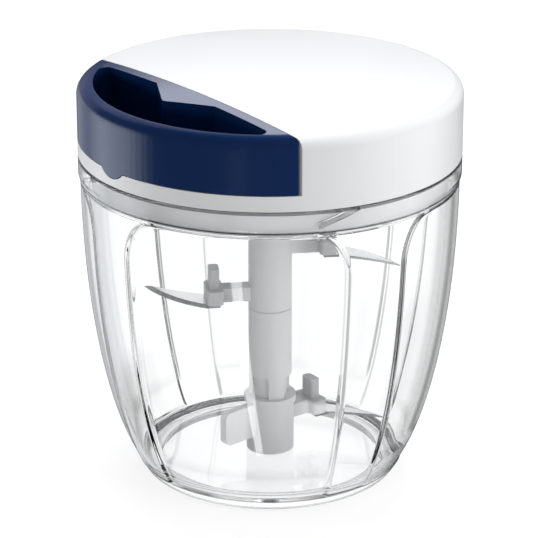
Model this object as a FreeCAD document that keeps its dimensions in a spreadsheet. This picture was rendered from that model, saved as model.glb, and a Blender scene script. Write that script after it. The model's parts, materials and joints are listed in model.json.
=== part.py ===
# Pull-string food chopper: clear bowl, domed lid with a crescent pull handle, and a three-blade unit.
# Millimetres. Origin at the centre of the foot, +Z up, -Y the side that the handle is pulled from.
import FreeCAD, Part
import math
import os

import Sketcher
from FreeCAD import Placement, Rotation, Vector

UP = Vector(0, 0, 1)
OUT = Vector(1, 0, 0)
SIDE = Vector(0, 1, 0)

doc = FreeCAD.newDocument("Chopper")
sheet = doc.addObject("Spreadsheet::Sheet", "Sizes")

# Driving dimensions: name, value, meaning. A direction is an angle from +X, seen from above.
SIZES = [
    ("lid_radius", 65.0, "outer radius of the lid and of the bowl's collar"),
    ("side_height", 23.9, "lid's side, from its lower edge up to where the dome begins"),
    ("dome_rise", 2.6, "crown of the lid above that height"),
    ("edge_round", 3.5, "rounding of the lid's and the handle's top edge"),
    ("cover_wall", 2.2, "wall of the lid cover"),
    ("seam_height", 115.0, "lower edge of the lid's side"),
    ("seam_gap", 0.4, "gap between the lid's side and the bowl's rim"),
    ("handle_line", 31.0, "distance from the axis to the lid's flat front wall"),
    ("ledge_rise", 5.2, "top of the ledge under the handle, above the lid's lower edge"),
    ("ledge_thick", 2.0, "thickness of that ledge"),
    ("handle_gap", 0.3, "gap between handle and lid"),
    ("end_round", 0.8, "rounding of the handle's two ends"),
    ("pocket_base", 2.5, "handle's floor under the finger pocket"),
    ("pocket_rim", 5.5, "handle's outer wall, pocket to outside"),
    ("pocket_back", 3.7, "handle's inner wall"),
    ("pocket_round", 2.5, "radius in the pocket's two tips"),
    ("boss_reach", 9.0, "how far the three-sided boss stands into the pocket"),
    ("boss_angle", 30.0, "slope of the boss's two flanks"),
    ("boss_round", 2.5, "radius of the boss's tip"),
    ("tongue_width", 12.0, "tongue under the handle"),
    ("tongue_drop", 2.3, "how far the tongue hangs down"),
    ("tongue_thick", 3.2, "thickness of the tongue"),
    ("notch_wall", 2.2, "wall behind the notch that the tongue sits in"),
    ("collar_height", 7.2, "height of the bowl's collar below its rim"),
    ("bowl_swell", 29.5, "half width of the ellipse that the bowl's wall follows"),
    ("bowl_depth", 3.1, "how far below the table that ellipse ends"),
    ("bowl_wall", 2.4, "wall of the bowl behind a panel"),
    ("panel_count", 4.0, "number of arch panels"),
    ("panel_depth", 0.7, "depth of an arch panel"),
    ("panel_angle", 35.0, "half the angle that a panel spans"),
    ("panel_place_angle", 40.9, "direction of the first panel's middle"),
    ("panel_low", 5.0, "lower end of a panel"),
    ("shoulder_height", 15.9, "height of the curve at the top of a panel's sides"),
    ("shoulder_gap", 1.5, "from the end of that curve up to the collar"),
    ("shoulder_angle", 10.2, "angle that the curve takes in"),
    ("foot_inset", 23.0, "how far the foot stands in from the lid's side"),
    ("foot_flare", 3.3, "how much wider the foot is at its top"),
    ("foot_arc", 4.6, "radius of the foot's rounded side"),
    ("foot_height", 4.0, "height of the foot ring"),
    ("foot_width", 7.5, "width of the foot ring at its top"),
    ("foot_stand", 3.6, "width of the foot ring on the table"),
    ("floor_height", 5.0, "inside floor of the bowl"),
    ("floor_wall", 2.4, "thickness of the floor"),
    ("floor_round", 8.0, "radius between floor and wall, inside"),
    ("rim_round", 0.8, "rounding of the bowl's rim"),
    ("stub_radius", 4.2, "stub in the bowl's floor that carries the pin"),
    ("stub_height", 7.0, "height of the stub"),
    ("stub_play", 0.8, "clearance between the stub and the blade hub"),
    ("pin_radius", 2.0, "pivot pin"),
    ("pin_root", 0.6, "floor left under the pivot pin"),
    ("pin_top", 23.8, "top of the pivot pin"),
    ("skirt_play", 1.5, "gap between the bowl's mouth and the lid's skirt"),
    ("skirt_wall", 2.0, "wall of the skirt"),
    ("skirt_drop", 6.7, "how far the skirt hangs below the lid base"),
    ("base_wall", 2.3, "plate of the lid base"),
    ("base_lip", 1.8, "flange of the lid base inside the cover"),
    ("fit_gap", 0.1, "clearance between moulded pieces that are pushed together"),
    ("press_gap", 0.02, "clearance round a pressed pin or bush"),
    ("running_gap", 0.06, "clearance of a turning fit"),
    ("step_gap", 0.3, "clearance between pieces that move past each other"),
    ("ramp_pitch", 132.0, "rise of the closing ramps in one full turn"),
    ("ramp_count", 4.0, "number of ramps"),
    ("ramp_angle", 20.0, "angle that a ramp spans"),
    ("ramp_place_angle", 77.0, "direction of the first ramp's middle"),
    ("ramp_drop", 2.1, "from the lid base's plate down to a lid ramp's middle"),
    ("ramp_thick", 1.8, "thickness of a ramp"),
    ("ramp_reach", 1.3, "how far a lid ramp stands out of the skirt"),
    ("ramp_root", 0.6, "how deep a ramp's root goes into its wall"),
    ("seal_height", 1.5, "height of the sealing ring"),
    ("seal_gap", 0.15, "clearance round the sealing ring"),
    ("hub_radius", 9.0, "stem of the drive hub"),
    ("stem_drop", 13.6, "how far the drive hub's stem hangs below the lid base"),
    ("socket_depth", 11.3, "depth of the drive socket"),
    ("socket_web", 2.2, "wall between the drive socket and the axle's bore"),
    ("bush_wall", 2.0, "wall of the hub bush"),
    ("bush_flange", 4.0, "width of its flange"),
    ("bush_thick", 1.2, "thickness of its flange"),
    ("cup_radius", 20.0, "ratchet cup on the drive hub"),
    ("cup_wall", 1.6, "wall of the ratchet cup outside its teeth"),
    ("cup_height", 4.4, "height of the ratchet cup"),
    ("cup_web", 1.2, "floor of the ratchet cup"),
    ("tooth_depth", 2.0, "depth of a ratchet tooth"),
    ("tooth_count", 12.0, "number of ratchet teeth"),
    ("tooth_place_angle", 37.5, "angle from a pawl's post to the next tooth"),
    ("washer_thick", 0.6, "thrust washer"),
    ("washer_radius", 6.0, "thrust washer, outside"),
    ("axle_radius", 2.5, "axle pin of the spool"),
    ("drum_radius", 17.0, "drum that the cord winds on"),
    ("drum_wall", 1.4, "wall of the drum"),
    ("drum_width", 8.0, "width of the drum between its flanges"),
    ("flange_radius", 24.0, "spool flanges"),
    ("flange_thick", 1.0, "thickness of the spool flanges"),
    ("barrel_web", 1.3, "floor of the spring barrel, with the flange"),
    ("arbor_radius", 4.5, "arbor that the spring is hooked on"),
    ("arbor_boss", 8.0, "radius of the boss above the arbor"),
    ("axle_cover", 2.3, "from the axle pin's top up to where the dome begins"),
    ("cord_radius", 0.8, "pull cord"),
    ("cord_turns", 3.0, "turns of cord on the drum"),
    ("cord_play", 0.3, "clearance round the cord"),
    ("eyelet_round", 2.0, "radius of the eyelet's mouth"),
    ("eyelet_wall", 1.2, "wall of the eyelet in the lid's front wall"),
    ("eyelet_flange", 1.4, "width of the eyelet's flange outside its mouth"),
    ("ferrule_radius", 2.0, "crimped stop on the cord's end"),
    ("ferrule_length", 4.2, "length of that stop"),
    ("ferrule_seat", 1.6, "how far into the boss the stop bears"),
    ("spring_thick", 0.4, "spring steel strip"),
    ("spring_pitch", 1.5, "distance between turns of the spring"),
    ("spring_turns", 6.0, "turns of the spring"),
    ("spring_width", 6.0, "width of the strip"),
    ("cap_thick", 0.8, "cap of the spring barrel"),
    ("pawl_line", 10.6, "distance from the axis to a pawl's post"),
    ("post_radius", 1.3, "post that a pawl swings on"),
    ("pawl_width", 4.4, "width of a pawl"),
    ("pawl_thick", 2.4, "thickness of a pawl"),
    ("pawl_reach", 17.3, "distance from the axis to a pawl's tip, swung out"),
    ("pawl_nose", 1.8, "width of a pawl's tip"),
    ("pawl_angle", 27.0, "angle from the post to the tip, swung out"),
    ("pawl_lean_angle", 58.0, "angle between the pawl and its radius"),
    ("pawl_fold_angle", 15.0, "how far a pawl is folded in at rest"),
    ("screw_inset", 6.4, "from the skirt's outside in to the lid screws"),
    ("screw_front_angle", 25.0, "direction of the front screws, below the X axis"),
    ("screw_rear_angle", 45.0, "direction of the rear screws, above the X axis"),
    ("screw_radius", 1.5, "shank of a lid screw"),
    ("screw_length", 12.0, "length of its shank"),
    ("screw_head", 2.9, "radius of its head"),
    ("head_height", 2.0, "height of its head"),
    ("screw_wall", 1.9, "wall of a screw boss"),
    ("shaft_radius", 7.5, "tubes of the blade unit"),
    ("shaft_neck", 2.0, "gap between the drive hub and the upper tube"),
    ("shaft_seam", 58.0, "joint between the two tubes"),
    ("shaft_gap", 0.2, "gap at that joint"),
    ("head_gap", 0.8, "gap above the six-sided drive head in its socket"),
    ("head_flats", 9.0, "drive head across its flats"),
    ("head_play", 0.24, "clearance of the drive head in its socket, across the flats"),
    ("window_count", 3.0, "number of windows at the lower tube's end"),
    ("window_angle", 76.0, "angle of each window"),
    ("window_height", 7.8, "height of a window"),
    ("leg_place_angle", 100.7, "direction of the first leg between the windows"),
    ("leg_wall", 1.5, "wall of the lower tube at its legs"),
    ("dog_depth", 1.0, "how deep the legs sit in the hub's collar"),
    ("collar_top", 25.6, "top of the blade hub's collar"),
    ("collar_thick", 2.4, "height of that collar"),
    ("collar_lip", 0.7, "how far it stands out"),
    ("nut_radius", 8.3, "blade hub"),
    ("nut_gap", 0.5, "gap between the blade hub and the bowl's floor"),
    ("rod_radius", 2.5, "steel rod inside the blade unit"),
    ("rod_web", 2.9, "wall between the pivot pin's bore and the rod's"),
    ("rod_cover", 4.0, "from the rod's upper end to the top of the upper tube"),
    ("pivot_wall", 1.6, "wall of the pivot bush"),
    ("arm_width", 6.0, "blade arm"),
    ("arm_height", 4.9, "height of a blade arm and its holder"),
    ("holder_length", 12.4, "blade holder, across the arm"),
    ("holder_depth", 6.0, "blade holder, along the arm"),
    ("holder_round", 1.6, "rounding of the holder's corners"),
    ("fin_length", 6.6, "fin on a blade holder, across the arm"),
    ("fin_thick", 3.6, "fin on a blade holder, along the arm"),
    ("fin_height", 7.0, "height of the fin"),
    ("fin_round", 1.2, "rounding of the fin's corners"),
    ("arm_reach", 22.6, "outer end of the upper and middle holders"),
    ("upper_level", 77.0, "underside of the upper blade"),
    ("upper_arm_angle", 59.5, "direction of the upper arm"),
    ("middle_level", 60.2, "underside of the middle blade"),
    ("middle_arm_angle", 239.5, "direction of the middle arm"),
    ("lower_reach", 20.6, "outer end of the lower holder"),
    ("lower_level", 14.2, "underside of the lower blade"),
    ("lower_arm_angle", 87.5, "direction of the lower arm"),
    ("paddle_place_angle", 275.0, "direction of the stirring paddle"),
    ("paddle_reach", 21.8, "outer end of the paddle"),
    ("paddle_low", 11.8, "lower edge of the paddle"),
    ("paddle_height", 12.0, "height of the paddle"),
    ("paddle_thick", 3.0, "thickness of the paddle"),
    ("paddle_round", 2.5, "rounding of the paddle's outer corners"),
    ("blade_thick", 0.9, "steel of the blades"),
    ("blade_grip", 4.8, "length of blade under its holder"),
    ("blade_root", 11.6, "width of a blade at its holder"),
    ("tip_reach", 42.6, "upper and middle blade tips, along the arm"),
    ("tip_back", 17.5, "upper and middle blade tips, behind the arm"),
    ("low_tip_reach", 35.0, "lower blade tip, along the arm"),
    ("low_tip_back", 21.0, "lower blade tip, behind the arm"),
    ("back_arc", 75.0, "radius of a blade's back"),
    ("front_arc", 48.0, "radius of a blade's cutting edge"),
    ("bevel_width", 1.6, "ground bevel of the cutting edge"),
    ("bevel_depth", 0.6, "depth of that bevel"),
    ("rivet_radius", 1.1, "rivet through a blade's root"),
    ("rivet_length", 4.6, "length of its shank"),
    ("rivet_head", 1.9, "radius of its head"),
    ("rivet_cap", 0.5, "height of its head"),
]

for row, (alias, value, meaning) in enumerate(SIZES, start=1):
    sheet.set(f"A{row}", alias)
    sheet.set(f"B{row}", str(value))
    sheet.setAlias(f"B{row}", alias)
    sheet.set(f"C{row}", meaning)
doc.recompute()


class Size:
    """A dimension that knows its number and the sheet expression that it is bound by."""

    def __init__(self, number, text):
        self.number = number
        self.text = text

    def __add__(self, other):
        return Size(self.number + number(other), f"({self.text} + {text(other)})")

    def __radd__(self, other):
        return Size(number(other) + self.number, f"({text(other)} + {self.text})")

    def __sub__(self, other):
        return Size(self.number - number(other), f"({self.text} - {text(other)})")

    def __rsub__(self, other):
        return Size(number(other) - self.number, f"({text(other)} - {self.text})")

    def __mul__(self, other):
        return Size(self.number * number(other), f"({self.text} * {text(other)})")

    def __rmul__(self, other):
        return self * other

    def __truediv__(self, other):
        return Size(self.number / number(other), f"({self.text} / {text(other)})")

    def __rtruediv__(self, other):
        return Size(number(other) / self.number, f"({text(other)} / {self.text})")


def number(value):
    """The number of a Size, or of a plain number."""
    return value.number if isinstance(value, Size) else float(value)


def text(value):
    """The expression of a Size, or of a plain number."""
    return value.text if isinstance(value, Size) else str(float(value))


def cosine(angle):
    """The cosine of an angle in degrees, still bound to the sheet."""
    return Size(math.cos(math.radians(number(angle))), f"cos({text(angle)} * 1 deg)")


def sine(angle):
    """The sine of an angle in degrees, still bound to the sheet."""
    return Size(math.sin(math.radians(number(angle))), f"sin({text(angle)} * 1 deg)")


def root(value):
    """The square root of a value, still bound to the sheet."""
    return Size(math.sqrt(number(value)), f"sqrt({text(value)})")


class Dimensions:
    """The sheet's cells by name."""


D = Dimensions()
for alias, value, meaning in SIZES:
    setattr(D, alias, Size(float(sheet.get(alias)), f"Sizes.{alias}"))

# Heights and radii that several pieces share
MOUTH = D.seam_height - D.seam_gap
COLLAR = MOUTH - D.collar_height
BOWL_DROP = COLLAR + D.bowl_depth
MOUTH_RADIUS = D.lid_radius - D.panel_depth - D.bowl_wall
COVER_BORE = D.lid_radius - D.cover_wall
EDGE = D.seam_height + D.side_height
LEDGE = D.seam_height + D.ledge_rise
FRONT = D.handle_line - D.cover_wall
LEDGE_LOW = LEDGE - D.ledge_thick
HANDLE_BACK = D.handle_line + D.handle_gap
HANDLE_LOW = LEDGE + D.handle_gap
POCKET_FLOOR = HANDLE_LOW + D.pocket_base
POCKET_LINE = HANDLE_BACK + D.pocket_back
POCKET_RADIUS = D.lid_radius - D.pocket_rim
FOOT_RADIUS = D.lid_radius - D.foot_inset
FOOT_INNER = FOOT_RADIUS + D.foot_flare - D.foot_width
STUB_TOP = D.floor_height + D.stub_height
PLATE_TOP = D.seam_height - D.fit_gap
PLATE_LOW = PLATE_TOP - D.base_wall
SKIRT_LOW = PLATE_LOW - D.skirt_drop
SKIRT_RADIUS = MOUTH_RADIUS - D.skirt_play
SCREW_LINE = SKIRT_RADIUS - D.screw_inset
RAMP_MIDDLE = PLATE_LOW - D.ramp_drop
SEAL_LOW = MOUTH - D.seal_height
BUSH_BORE = D.hub_radius + D.running_gap
BUSH_RADIUS = BUSH_BORE + D.bush_wall
BUSH_TOP = PLATE_TOP + D.bush_thick
CUP_LOW = BUSH_TOP + D.step_gap
CUP_FLOOR = CUP_LOW + D.cup_web
CUP_TOP = CUP_LOW + D.cup_height
AXLE_BORE = D.axle_radius + D.running_gap
AXLE_TOP = EDGE - D.axle_cover
HUB_LOW = PLATE_LOW - D.stem_drop
SOCKET_TOP = HUB_LOW + D.socket_depth
AXLE_LOW = SOCKET_TOP + D.socket_web
HEAD_TOP = SOCKET_TOP - D.head_gap
SHAFT_TOP = HUB_LOW - D.shaft_neck
ROD_TOP = SHAFT_TOP - D.rod_cover
WASHER_TOP = CUP_FLOOR + D.washer_thick
SPOOL_LOW = CUP_TOP + D.step_gap
DRUM_LOW = SPOOL_LOW + D.flange_thick
DRUM_TOP = DRUM_LOW + D.drum_width
SPOOL_TOP = DRUM_TOP + D.flange_thick
BARREL_RADIUS = D.drum_radius - D.drum_wall
BARREL_FLOOR = SPOOL_LOW + D.barrel_web
ARBOR_LOW = BARREL_FLOOR + D.step_gap
PAWL_TOP = SPOOL_LOW - D.step_gap
PAWL_LOW = PAWL_TOP - D.pawl_thick
WINDING_LOW = DRUM_LOW + D.fit_gap
WINDING_TOP = WINDING_LOW + 2 * D.cord_turns * D.cord_radius
CORD_LEVEL = WINDING_TOP + D.cord_play + D.cord_radius
CORD_BORE = D.cord_radius + D.cord_play
EYELET_RADIUS = CORD_BORE + D.eyelet_wall
FERRULE_LINE = POCKET_LINE + D.ferrule_seat
NUT_LOW = D.floor_height + D.nut_gap
NUT_CEILING = D.pin_top + D.step_gap
ROD_LOW = NUT_CEILING + D.rod_web
HOLE_RADIUS = D.screw_radius + D.fit_gap
BOSS_RADIUS = D.screw_radius + D.screw_wall


def bind(item, path, value):
    """Bind one property of an object to the sheet."""
    item.setExpression(path, text(value))


def fix_point(sketch, kind, axis, index, end, value):
    """Hold one coordinate of a sketch point at a size, or on the axis where it is zero."""
    if number(value) == 0:
        sketch.addConstraint(Sketcher.Constraint("PointOnObject", index, end, axis))
    elif number(value) > 0:
        hold = sketch.addConstraint(Sketcher.Constraint(kind, -1, 1, index, end, number(value)))
        bind(sketch, f"Constraints[{hold}]", value)
    else:
        hold = sketch.addConstraint(Sketcher.Constraint(kind, index, end, -1, 1, -number(value)))
        bind(sketch, f"Constraints[{hold}]", -1 * value)


def sketch_side(sketch, corner, after):
    """Add the line or arc from one corner to the next, and give its first and last end."""
    start = Vector(number(corner[0]), number(corner[1]), 0)
    end = Vector(number(after[0]), number(after[1]), 0)
    if len(corner) == 2:
        sketch.addGeometry(Part.LineSegment(start, end))
        return 1, 2
    radius = number(corner[2])
    chord = end - start
    rise = math.sqrt(max(radius * radius - chord.Length ** 2 / 4, 0)) * math.copysign(1, radius)
    centre = (start + end) * 0.5 + Vector(-chord.y, chord.x, 0) * (rise / chord.Length)
    first, last = (start, end) if radius > 0 else (end, start)
    angles = [math.atan2(point.y - centre.y, point.x - centre.x) for point in (first, last)]
    if angles[1] < angles[0]:
        angles[1] += 2 * math.pi
    sketch.addGeometry(Part.ArcOfCircle(Part.Circle(centre, UP, abs(radius)), angles[0], angles[1]))
    return (1, 2) if radius > 0 else (2, 1)


def outline(body, plane, corners, level=None):
    """A closed sketch through the corners. A corner's third value is the radius of the arc that leads
    on from it, positive with its centre to the left of the way and negative to the right."""
    sketch = body.newObject("Sketcher::SketchObject", body.Name + "_outline")
    support = [feature for feature in body.Origin.OriginFeatures if feature.Role == plane][0]
    sketch.AttachmentSupport = [(support, "")]
    sketch.MapMode = "FlatFace"
    if level is not None:
        bind(sketch, "AttachmentOffset.Base.z", level)
    following = corners[1:] + corners[:1]
    ends = [sketch_side(sketch, corner, after) for corner, after in zip(corners, following)]
    for index, corner in enumerate(corners):
        before = (index - 1) % len(corners)
        begin = ends[index][0]
        sketch.addConstraint(Sketcher.Constraint("Coincident", before, ends[before][1], index, begin))
        fix_point(sketch, "DistanceX", -2, index, begin, corner[0])
        fix_point(sketch, "DistanceY", -1, index, begin, corner[1])
        if len(corner) == 3:
            size = corner[2] if number(corner[2]) > 0 else -1 * corner[2]
            hold = sketch.addConstraint(Sketcher.Constraint("Radius", index, number(size)))
            bind(sketch, f"Constraints[{hold}]", size)
    return sketch


def turned(name, corners):
    """A round piece: an outline of radius and height turned about the axis."""
    body = doc.addObject("PartDesign::Body", name)
    sketch = outline(body, "XZ_Plane", corners)
    turn = body.newObject("PartDesign::Revolution", name + "_turn")
    turn.Profile = sketch
    turn.ReferenceAxis = (sketch, ["V_Axis"])
    turn.Angle = 360
    body.Tip = turn
    return body


def raised(name, corners, low, high):
    """A piece of even height: an outline of X and Y raised from one level to another."""
    body = doc.addObject("PartDesign::Body", name)
    sketch = outline(body, "XY_Plane", corners, low)
    pad = body.newObject("PartDesign::Pad", name + "_pad")
    pad.Profile = sketch
    bind(pad, "Length", high - low)
    body.Tip = pad
    return body


def upright(name, corners, thick):
    """A plate that stands on edge: an outline of X and Z with its thickness shared by both sides."""
    body = doc.addObject("PartDesign::Body", name)
    sketch = outline(body, "XZ_Plane", corners)
    pad = body.newObject("PartDesign::Pad", name + "_pad")
    pad.Profile = sketch
    pad.Midplane = True
    bind(pad, "Length", thick)
    body.Tip = pad
    return body


def cylinder(name, radius, low, high, x=0, y=0):
    """A round rod along Z."""
    rod = doc.addObject("Part::Cylinder", name)
    bind(rod, "Radius", radius)
    bind(rod, "Height", high - low)
    bind(rod, "Placement.Base.x", x)
    bind(rod, "Placement.Base.y", y)
    bind(rod, "Placement.Base.z", low)
    return rod


def lying(name, radius, level, start, end):
    """A round rod along -Y, from one distance to another in front of the axis."""
    rod = doc.addObject("Part::Cylinder", name)
    rod.Placement = Placement(Vector(), Rotation(OUT, 90))
    bind(rod, "Radius", radius)
    bind(rod, "Height", end - start)
    bind(rod, "Placement.Base.y", -1 * start)
    bind(rod, "Placement.Base.z", level)
    return rod


def tube(name, outer, inner, low, high):
    """A ring or a sleeve."""
    return turned(name, [(inner, low), (outer, low), (outer, high), (inner, high)])


def block(name, low, high):
    """A box between two opposite corners."""
    item = doc.addObject("Part::Box", name)
    for prop, axis, start, end in zip(("Length", "Width", "Height"), "xyz", low, high):
        bind(item, prop, end - start)
        bind(item, f"Placement.Base.{axis}", start)
    return item


def rounded(name, start, end, half, radius, low, high):
    """A block along +X with its four upright edges rounded."""
    corners = [
        (start + radius, -1 * half),
        (end - radius, -1 * half, radius),
        (end, radius - half),
        (end, half - radius, radius),
        (end - radius, half),
        (start + radius, half, radius),
        (start, half - radius),
        (start, radius - half, radius),
    ]
    return raised(name, corners, low, high)


def swing(item, angle):
    """Turn a piece about the Z axis by an angle of the sheet."""
    item.Placement = Placement(item.Placement.Base, Rotation(UP, number(angle)))
    bind(item, "Placement.Rotation.Angle", angle)
    return item


def joined(name, pieces):
    """Several solids moulded as one."""
    item = doc.addObject("Part::MultiFuse", name)
    item.Shapes = pieces
    return item


def grouped(name, pieces):
    """Separate solids that share one node."""
    item = doc.addObject("Part::Compound", name)
    item.Links = pieces
    return item


def cut(name, base, tools):
    """A solid less its tools."""
    item = doc.addObject("Part::Cut", name)
    item.Base = base
    item.Tool = tools[0] if len(tools) == 1 else joined(name + "_tools", tools)
    return item


def shared(name, first, second):
    """What two solids have in common."""
    item = doc.addObject("Part::Common", name)
    item.Base = first
    item.Tool = second
    return item


def shaped(name, shape):
    """A piece whose surfaces are worked out here from the sheet's numbers."""
    item = doc.addObject("Part::Feature", name)
    item.Shape = shape
    item.Placement = Placement()
    return item


def polyline(points):
    """Straight edges through the points."""
    return [Part.makeLine(start, end) for start, end in zip(points, points[1:])]


def ellipse_arc(centre, up, across, first, last):
    """An arc of an ellipse. Its angle runs from the end of one half axis to the end of the other."""
    if up.Length >= across.Length:
        curve = Part.Ellipse(centre + up, centre + across, centre)
        return Part.ArcOfEllipse(curve, first, last).toShape()
    curve = Part.Ellipse(centre + across, centre + up, centre)
    return Part.ArcOfEllipse(curve, math.pi / 2 - last, math.pi / 2 - first).toShape()


def turned_face(edges):
    """A solid of revolution from the edges of its half section."""
    face = Part.Face(Part.Wire(Part.__sortEdges__(edges)))
    return face.revolve(Vector(), UP, 360)


def wall_angle(height):
    """Where the wall's ellipse reaches a height."""
    return math.acos((height - number(COLLAR)) / number(BOWL_DROP))


def wall_radius(height, inset):
    """Radius of the bowl's wall at a height, inset from its pillars."""
    middle = number(D.lid_radius - D.bowl_swell) - inset
    return middle + number(D.bowl_swell) * math.sin(wall_angle(height))


def wall_arc(low, high, inset, share=1.0, side=OUT, offset=Vector()):
    """The bowl's wall between two heights as an arc of its ellipse, narrowed to a share of its width."""
    middle = (number(D.lid_radius - D.bowl_swell) - inset) * share
    centre = offset + side * middle + UP * number(COLLAR)
    up = UP * number(BOWL_DROP)
    across = side * (number(D.bowl_swell) * share)
    return ellipse_arc(centre, up, across, wall_angle(high), wall_angle(low))


def wall_solid(low, inset, top):
    """Everything inside the wall's surface, from one height up to the collar and on to the top."""
    radius = wall_radius(low, inset)
    rim = number(D.lid_radius) - inset
    collar = number(COLLAR)
    points = [Vector(rim, 0, collar)]
    if top > collar:
        points.append(Vector(rim, 0, top))
    points += [Vector(0, 0, top), Vector(0, 0, low), Vector(radius, 0, low)]
    return turned_face([wall_arc(low, collar, inset)] + polyline(points))


def arch_tool():
    """A prism along +X with the outline of one arch panel, seen from outside."""
    share = math.sin(math.radians(number(D.panel_angle)))
    top_share = math.sin(math.radians(number(D.panel_angle - D.shoulder_angle)))
    low, high = number(D.panel_low), number(COLLAR)
    crest = number(COLLAR - D.shoulder_gap)
    bend = crest - number(D.shoulder_height)
    reach = number(D.lid_radius)
    half_low = wall_radius(low, 0) * share
    half_bend = wall_radius(bend, 0) * share
    half_top = wall_radius(crest, 0) * top_share
    start = OUT * number(FOOT_RADIUS - D.foot_width) * 0.5
    edges = []
    for side in (SIDE, -SIDE):
        edges.append(wall_arc(low, bend, 0, share, side, start))
        corner = start + side * half_top + UP * bend
        edges.append(ellipse_arc(corner, UP * (crest - bend), side * (half_bend - half_top), 0, math.pi / 2))
        edges.append(Part.makeLine(start + side * half_top + UP * crest, start + side * half_top + UP * high))
    for half, height in ((half_top, high), (half_low, low)):
        edges.append(Part.makeLine(start + SIDE * half + UP * height, start - SIDE * half + UP * height))
    face = Part.Face(Part.Wire(Part.__sortEdges__(edges)))
    return face.extrude(OUT * reach)


def ramp(inner, outer, middle, low, high):
    """A closing ramp: a bar that climbs round the axis, trimmed between two heights."""
    thick = number(D.ramp_thick)
    span = number(D.ramp_angle)
    climb = number(D.ramp_pitch) * span / 360
    section = Part.makePolygon([
        Vector(inner, 0, -thick / 2), Vector(outer, 0, -thick / 2), Vector(outer, 0, thick / 2),
        Vector(inner, 0, thick / 2), Vector(inner, 0, -thick / 2)])
    path = Part.makeHelix(number(D.ramp_pitch), climb, (inner + outer) / 2)
    bar = Part.Wire(path.Edges).makePipeShell([section], True, True)
    bar.rotate(Vector(), UP, number(D.ramp_place_angle) - span / 2)
    bar.translate(UP * (middle - climb / 2))
    ring = Part.makeCylinder(outer + thick, high - low, UP * low)
    return bar.common(ring)


def around(shape, count):
    """Copies of a shape at even angles about the axis."""
    copies = []
    for index in range(int(number(count))):
        copy = shape.copy()
        copy.rotate(Vector(), UP, 360 / number(count) * index)
        copies.append(copy)
    return copies


def make_bowl():
    """Clear bowl: elliptic wall with arch panels between pillars, collar, closing ramps and a pin stub."""
    low, top = number(D.foot_height), number(MOUTH)
    inset = number(D.panel_depth)
    wall = inset + number(D.bowl_wall)
    body = wall_solid(low, 0, top)
    recess = number(FOOT_INNER - D.fit_gap)
    under = number(D.floor_height - D.floor_wall)
    body = body.fuse(Part.makeCylinder(recess, low - under, UP * under))
    cavity = wall_solid(number(D.floor_height), wall, top + wall)
    bottom = [edge for edge in cavity.Edges if abs(edge.BoundBox.ZMax - number(D.floor_height)) < 1e-6]
    cavity = cavity.makeFillet(number(D.floor_round), bottom)
    panel = arch_tool().cut(wall_solid(low, inset, number(COLLAR)))
    panel.rotate(Vector(), UP, number(D.panel_place_angle))
    body = body.cut([cavity] + around(panel, D.panel_count))
    rims = [edge for edge in body.Edges if edge.BoundBox.ZMin > top - 1e-6]
    body = body.makeFillet(number(D.rim_round), rims)
    catch = ramp(number(SKIRT_RADIUS + D.step_gap), number(MOUTH_RADIUS + D.ramp_root),
                 number(RAMP_MIDDLE + D.ramp_thick + D.step_gap),
                 number(SKIRT_LOW), number(SEAL_LOW - D.step_gap))
    stub = Part.makeCylinder(number(D.stub_radius), number(STUB_TOP) - under, UP * under)
    body = body.fuse([stub] + around(catch, D.ramp_count))
    bore_low = under + number(D.pin_root)
    bore = Part.makeCylinder(number(D.pin_radius + D.press_gap), number(STUB_TOP) - bore_low, UP * bore_low)
    return shaped("bowl", body.cut(bore).removeSplitter())


def make_foot():
    """Soft clear ring under the bowl, rounded outwards to the bowl's wall."""
    outer = FOOT_RADIUS + D.foot_flare
    return turned("foot_ring", [
        (FOOT_RADIUS - D.foot_stand, 0), (FOOT_RADIUS, 0, D.foot_arc),
        (outer, D.foot_height), (FOOT_INNER, D.foot_height)])


def make_pivot():
    """Steel pin that the blade unit turns on, set in the bowl's stub."""
    low = D.floor_height - D.floor_wall + D.pin_root
    return cylinder("bowl_pivot_pin", D.pin_radius, low, D.pin_top)


def dome(name, inset):
    """The lid's outer form, or its inner form with an inset: a cylinder with a rounded edge and a crown."""
    edge = D.lid_radius - D.edge_round
    crown = (edge * edge + D.dome_rise * D.dome_rise) / (2 * D.dome_rise) - inset
    shoulder = EDGE - D.edge_round
    low = D.seam_height if number(inset) == 0 else D.seam_height - inset
    return turned(name, [
        (0, low), (D.lid_radius - inset, low), (D.lid_radius - inset, shoulder, D.edge_round - inset),
        (edge, EDGE - inset, crown), (0, EDGE + D.dome_rise - inset)])


def make_tongue(name, gap, high):
    """Half-round tongue at the handle's lower edge, or the notch for it with a gap."""
    half = D.tongue_width / 2 + gap
    drop = D.tongue_drop + D.handle_gap + gap
    radius = (half * half + drop * drop) / (2 * drop)
    inner = D.lid_radius - D.tongue_thick - gap
    rod = lying(name + "_rod", radius, HANDLE_LOW - drop + radius, inner, D.lid_radius + D.tongue_thick)
    box = block(name + "_box", (-1 * half, -1 * D.lid_radius - D.tongue_thick, HANDLE_LOW - drop),
                (half, -1 * inner, high))
    return shared(name, rod, box)


def screw_places():
    """Directions of the four lid screws, the front pair beside the handle."""
    return [-1 * D.screw_front_angle, 180 + D.screw_front_angle, D.screw_rear_angle, 180 - D.screw_rear_angle]


def beside(name, radius, low, high, turn):
    """An upright rod on the circle of the lid screws."""
    return cylinder(name, radius, low, high, SCREW_LINE * cosine(turn), SCREW_LINE * sine(turn))


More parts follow.
